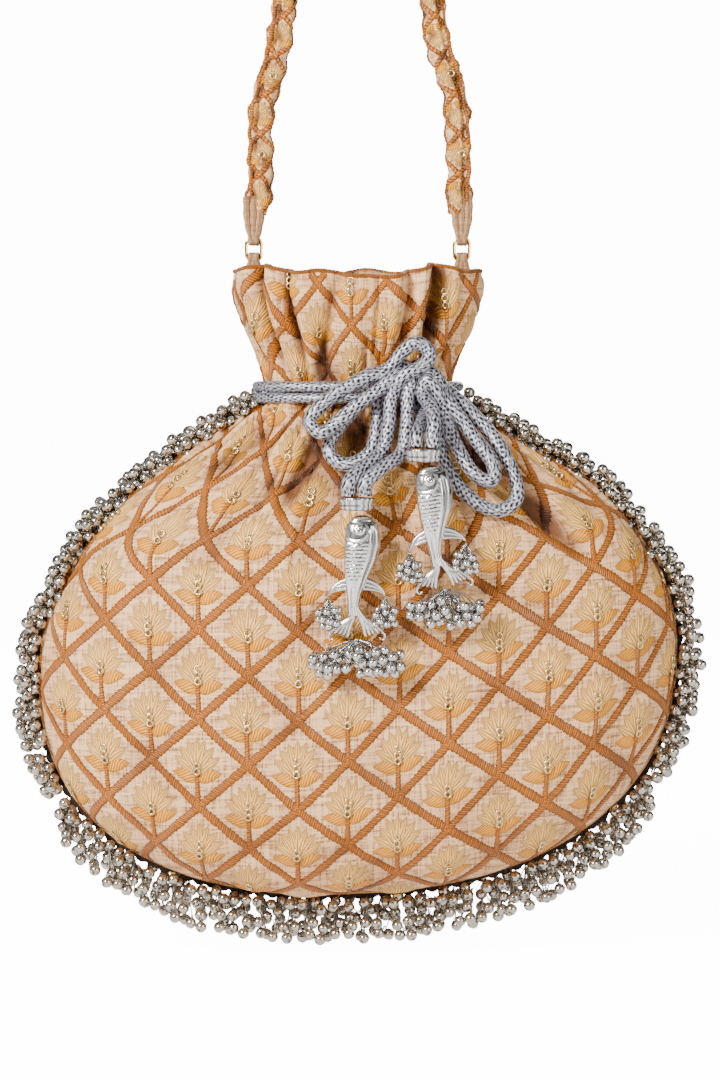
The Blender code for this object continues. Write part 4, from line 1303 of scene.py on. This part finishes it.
def build_charms():
    """Both charms with their caps, fish and three bunches of bells."""
    for number, top, lean in CHARMS:
        build_cap_fitting(number, top)
        pile = Pile()
        fish_body(top, lean, pile)
        fish_fins(top, lean, pile)
        fish = pile.build(f"cast_fish_{number}", CAST, "cast_silver", f"fish_{number}")
        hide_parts(f"fish_{number}")
        fins = (0.0046, 0.0046, 0.0056)
        build_bunch(number, "left", (-FIN_REACH, 0, -FIN_DROP), fins, 17, 0.68, top, lean)
        build_bunch(number, "right", (FIN_REACH, 0, -FIN_DROP), fins, 17, 0.68, top, lean)
        tail = (0.0162, 0.0064, 0.0068) if number == 1 else (0.0132, 0.0064, 0.0068)
        bells = 48 if number == 1 else 40
        build_bunch(number, "tail", (0, 0, -FISH_LENGTH - 0.0004), tail, bells, 0.86, top, lean)


# ---------------------------------------------------------------- strap, loops and links

STRAP_HALF = 0.0032
STRAP_COLUMNS = 41
STRAP_ROW_STEP = 0.00105
STRAP_BAND_STEP = BAND_STEP * 1.5
STRAP_REPEAT = 0.0135
STRAP_MOTIFS = 60
STRAP_FOOT_Z = LINK_TOP_Z + 0.0078
STRAP_ROUTE = (
    (LEFT_LINK_X + 0.0018, 0, STRAP_FOOT_Z), (LEFT_LINK_X + 0.0030, 0, STRAP_FOOT_Z + 0.035),
    (LEFT_LINK_X + 0.0100, 0, -0.1600), (LEFT_LINK_X + 0.0150, 0, -0.1000),
    (LEFT_LINK_X + 0.0190, 0, -0.0400), (-0.0125, 0, -0.0130), (-0.0062, 0, -0.0010),
    (0.0, 0, STRAP_HALF + 0.0004), (0.0066, 0, -0.0010), (0.0140, 0, -0.0130),
    (RIGHT_LINK_X - 0.0165, 0, -0.0400), (RIGHT_LINK_X - 0.0132, 0, -0.1000),
    (RIGHT_LINK_X - 0.0092, 0, -0.1600), (RIGHT_LINK_X - 0.0016, 0, STRAP_FOOT_Z + 0.035),
    (RIGHT_LINK_X - 0.0012, 0, STRAP_FOOT_Z),
)


class Strap:
    """The folded strap: u runs round it from the middle of its front, v along it."""

    girth = 0.0216

    def __init__(self):
        path, self.places = smooth_curve(STRAP_ROUTE, 0.0005)
        tangents = np.gradient(path, axis=0)
        tangents /= np.linalg.norm(tangents, axis=1, keepdims=True)
        self.path = path
        self.away = np.cross(tangents, (0.0, -1.0, 0.0))
        self.length = self.places[-1]

    def at(self, values, place):
        return np.stack([np.interp(place, self.places, values[:, axis]) for axis in range(3)], -1)

    def lift(self, around, place):
        u = around * self.girth / 2
        swell = 0.00040 * np.sin(u * 900 + 190 * place) + 0.00036 * np.sin(place * 700 - u * 420)
        crinkle = 0.00052 * np.abs(np.sin(place * 310 + 3.1 * np.sin(place * 77) + 300 * u)) - 0.0002
        fold = -0.0011 * np.exp(-((u + 0.0016) / 0.00055)**2)
        return swell + crinkle + fold

    def point(self, around, place, raised=0.0):
        around = np.asarray(around, float)
        place = np.clip(place, 0, self.length)
        end = np.minimum(place, self.length - place)
        taper = 0.72 + 0.28 * smoothstep(end / 0.005)
        turn = np.pi * around
        lift = self.lift(around, place) + raised
        half_x = (0.0037 + lift) * taper
        half_y = (0.0027 + lift) * taper
        shape = (np.abs(np.sin(turn))**2.6 + np.abs(np.cos(turn))**2.6)**(-1 / 2.6)
        sideways = (np.sin(turn) * shape * half_x)[..., None] * self.at(self.away, place)
        depth = -np.cos(turn) * shape * half_y
        points = self.at(self.path, place) + sideways
        points[..., 1] += depth
        normal = np.sin(turn)[..., None] * self.at(self.away, place)
        normal[..., 1] -= np.cos(turn)
        return points, normal

    def locate(self, u, v):
        around = u / (self.girth / 2)
        return around, v, (v > 0.0003) & (v < self.length - 0.0003) & (np.abs(around) <= 1.0)

    def shade(self, around, place):
        return np.clip(1 + self.lift(around, place) / 0.0009, 0.12, 1)


def build_strap():
    """The strap's silk, its stitched bands and its leaves, petals and ring sequins."""
    around, place = np.meshgrid(np.linspace(-1, 1, STRAP_COLUMNS), np.arange(0, STRAP.length, STRAP_ROW_STEP))
    points, _ = STRAP.point(around, place)
    uvs = np.stack((around * STRAP.girth / 2, place), -1)
    silk = Pile()
    silk.grid(points, uvs, STRAP.shade(around, place))
    for row in (0, -1):
        middle = points[row].mean(0, keepdims=True).repeat(STRAP_COLUMNS, 0)
        # The strap's closed ends are painted darker, as shade inside the loops.
        silk.grid(np.stack((points[row], middle)), None, np.full((2, STRAP_COLUMNS), 0.3))
    piece = silk.build("strap_silk", SILK, "embroidered_silk", "strap")
    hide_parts("strap")
    bands, petals, leaves, rings = Pile(), Pile(), Pile(), Pile()
    along = np.arange(-0.01, STRAP.length + 0.01, STRAP_BAND_STEP)
    for u in (-0.0028, 0.0052, -0.0092):
        add_lattice_line(bands, STRAP, u + 0.0003 * np.sin(along * 150), along, 0.00062, STRAP_BAND_STEP)
    for direction in (1, -1):
        for line in range(STRAP_MOTIFS):
            u = direction * (along - line * STRAP_REPEAT)
            nearby = np.abs(u) < STRAP.girth / 2
            add_lattice_line(bands, STRAP, u[nearby] * 0.9, along[nearby], 0.00080,
                             STRAP_BAND_STEP)
    for line in range(STRAP_MOTIFS):
        centre = (0.0009 * math.sin(line * 2.4), (line + 0.5) * STRAP_REPEAT)
        if centre[1] > STRAP.length - 0.006:
            break
        for shape in PETALS:
            add_petal(petals, STRAP, centre, shape, 0.00040, 0.52)
        for shape in LEAVES:
            add_petal(leaves, STRAP, centre, shape, 0.00045, 0.62)
        if line % 2:
            add_ring_sequin(rings, STRAP, centre, line)
    bands.build("strap_bands", LATTICE, "embroidered_silk", "strap")
    petals.build("strap_petals", PETAL, "embroidered_silk", "strap")
    leaves.build("strap_leaves", LEAF, "embroidered_silk", "strap")
    rings.build("strap_ring_sequins", GOLD, "gold_wire", "strap")


def build_fabric_loop(name, x, axis_z, tab_z, body):
    """A gathered fabric loop round a link's wire: pleats side by side, closed into a tab."""
    pile = Pile()
    rise = math.copysign(1.0, tab_z - axis_z)
    reach = 0.00192
    turn = np.linspace(-math.pi, 0, 15)
    for pleat in range(6):
        shift = (pleat - 2.5) * 0.00092
        wobble = 0.00016 * math.sin(pleat * 2.3 + x * 90)
        bottom = np.stack((np.full(15, shift * 0.5), reach * np.cos(turn), reach * np.sin(turn) * rise), 1)
        front = np.array(((shift, -reach - 0.0002, rise * 0.004), (shift * 1.25, -reach, rise * 0.0085)))
        back = front * np.array((1, -1, 1))
        far = (abs(tab_z - axis_z) + 0.002) * rise
        ends = np.array(((shift * 1.25, -reach * 0.8, far), (shift * 1.25, reach * 0.8, far)))
        path = np.vstack((ends[:1], front[::-1], bottom, back, ends[1:]))
        path = smooth_curve(path + np.array((x + wobble, 0, axis_z)), 0.0007)[0]
        beat = 0.00070 + 0.00010 * np.sin(np.arange(len(path)) * 0.9 + pleat * 2)
        # Every other pleat is painted darker, as shade between the pleats.
        add_wire(pile, path, beat, 9, False, 0.95 - 0.45 * (pleat % 2))
    loop = pile.build(name + "_fabric", SILK, "embroidered_silk", body)
    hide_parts(name)


def build_loops():
    """Loops on the strap's ends and on the bag, and the finish of the gold links between."""
    for side, x in (("left", LEFT_LINK_X), ("right", RIGHT_LINK_X)):
        build_fabric_loop(f"strap_loop_{side}", x, LINK_TOP_Z, LINK_TOP_Z + STRAP_LOOP_RISE, "strap")
        build_fabric_loop(f"side_loop_{side}", x, LINK_TOP_Z - LINK_DROP, RIM_Z - 0.0070, "bag")
    for node in ("link_left", "link_right"):
        for item in bpy.data.objects:
            if item.type == "MESH" and item.name.split(".")[0] == node:
                item.material_slots[0].material = GOLD_PLAIN


# ---------------------------------------------------------------- stage, camera and light

FLOOR_Z = -0.4775
FLOOR_GLOW = 13.6        # seen by the camera only, to match the studio paper
PAPER_GLOW = 14.0


def build_stage():
    """A plain pale floor under the bag, as bright as the studio paper behind it."""
    bpy.ops.mesh.primitive_plane_add(size=6.0, location=(0, 0, FLOOR_Z))
    floor = bpy.context.active_object
    floor.name = "floor"
    material = bpy.data.materials.new("pale_floor")
    material.use_nodes = True
    shader = material.node_tree.nodes["Principled BSDF"]
    shader.inputs["Base Color"].default_value = (0.92, 0.92, 0.92, 1)
    shader.inputs["Roughness"].default_value = 0.9
    shader.inputs["Specular IOR Level"].default_value = 0.1
    shader.inputs["Emission Color"].default_value = (1, 1, 1, 1)
    path = material.node_tree.nodes.new("ShaderNodeLightPath")
    glow = material.node_tree.nodes.new("ShaderNodeMath")
    glow.operation = "MULTIPLY"
    glow.inputs[1].default_value = FLOOR_GLOW
    material.node_tree.links.new(path.outputs["Is Camera Ray"], glow.inputs[0])
    material.node_tree.links.new(glow.outputs[0], shader.inputs["Emission Strength"])
    floor.data.materials.append(material)


def add_area(name, place, target, size, power, colour=(1, 1, 1)):
    light = bpy.data.lights.new(name, "AREA")
    light.shape = "DISK"
    light.size = size
    light.energy = power
    light.color = colour
    lamp = bpy.data.objects.new(name, light)
    bpy.context.scene.collection.objects.link(lamp)
    lamp.location = place
    lamp.rotation_euler = (Vector(target) - Vector(place)).to_track_quat("-Z", "Y").to_euler()


def build_light():
    """A white surround and three soft lamps."""
    world = bpy.data.worlds.new("studio")
    bpy.context.scene.world = world
    world.use_nodes = True
    tree = world.node_tree
    tree.nodes.clear()
    output = tree.nodes.new("ShaderNodeOutputWorld")
    seen = tree.nodes.new("ShaderNodeBackground")
    seen.inputs["Color"].default_value = (1, 1, 1, 1)
    seen.inputs["Strength"].default_value = PAPER_GLOW
    lit = tree.nodes.new("ShaderNodeBackground")
    lit.inputs["Strength"].default_value = 0.62
    place = tree.nodes.new("ShaderNodeTexCoord")
    noise = tree.nodes.new("ShaderNodeTexNoise")
    noise.inputs["Scale"].default_value = 2.2
    noise.inputs["Detail"].default_value = 1.0
    ramp = tree.nodes.new("ShaderNodeValToRGB")
    ramp.color_ramp.elements[0].position = 0.47
    ramp.color_ramp.elements[0].color = (0.025, 0.02, 0.018, 1)
    ramp.color_ramp.elements[1].position = 0.56
    ramp.color_ramp.elements[1].color = (1, 1, 1, 1)
    path = tree.nodes.new("ShaderNodeLightPath")
    mix = tree.nodes.new("ShaderNodeMixShader")
    tree.links.new(place.outputs["Generated"], noise.inputs["Vector"])
    tree.links.new(noise.outputs["Fac"], ramp.inputs["Fac"])
    tree.links.new(ramp.outputs["Color"], lit.inputs["Color"])
    tree.links.new(path.outputs["Is Camera Ray"], mix.inputs["Fac"])
    tree.links.new(lit.outputs[0], mix.inputs[1])
    tree.links.new(seen.outputs[0], mix.inputs[2])
    tree.links.new(mix.outputs[0], output.inputs["Surface"])
    middle = (0, 0, -0.36)
    add_area("key", (-0.75, -1.05, 0.35), middle, 0.40, 46)
    add_area("fill", (0.95, -0.95, -0.05), middle, 0.8, 8)
    add_area("back", (0.3, 1.1, 0.4), middle, 0.9, 12)


LENS = 110
SENSOR = 36
FRAMED_HEIGHT = 0.3672


def build_camera():
    """The camera straight in front, at the photograph's slight downward angle."""
    data = bpy.data.cameras.new("camera")
    camera = bpy.data.objects.new("camera", data)
    bpy.context.scene.collection.objects.link(camera)
    data.lens = LENS
    data.sensor_width = SENSOR
    target = Vector((0.0007, BALANCE_Y, -0.3356))
    rise = math.radians(3)
    distance = LENS / SENSOR * FRAMED_HEIGHT
    camera.location = target + Vector((0, -math.cos(rise), math.sin(rise))) * distance
    camera.rotation_euler = (target - camera.location).to_track_quat("-Z", "Y").to_euler()
    data.clip_start = 0.01
    bpy.context.scene.camera = camera


build_camera()
build_cords()
build_stage()
build_light()
FRONT = Cloth(-1)
BACK = Cloth(1)
STRAP = Strap()
build_panel(FRONT, "front_silk", "front_panel", 221, 200)
build_panel(BACK, "back_silk", "back_panel", 131, 112)
build_lattice(FRONT, "front_lattice")
build_lattice(BACK, "back_lattice", 2.2)
build_motifs(FRONT, "front")
build_motifs(BACK, "back")
build_lining()
build_tape()
build_rim_edging()
build_trim()
build_charms()
build_strap()
build_loops()
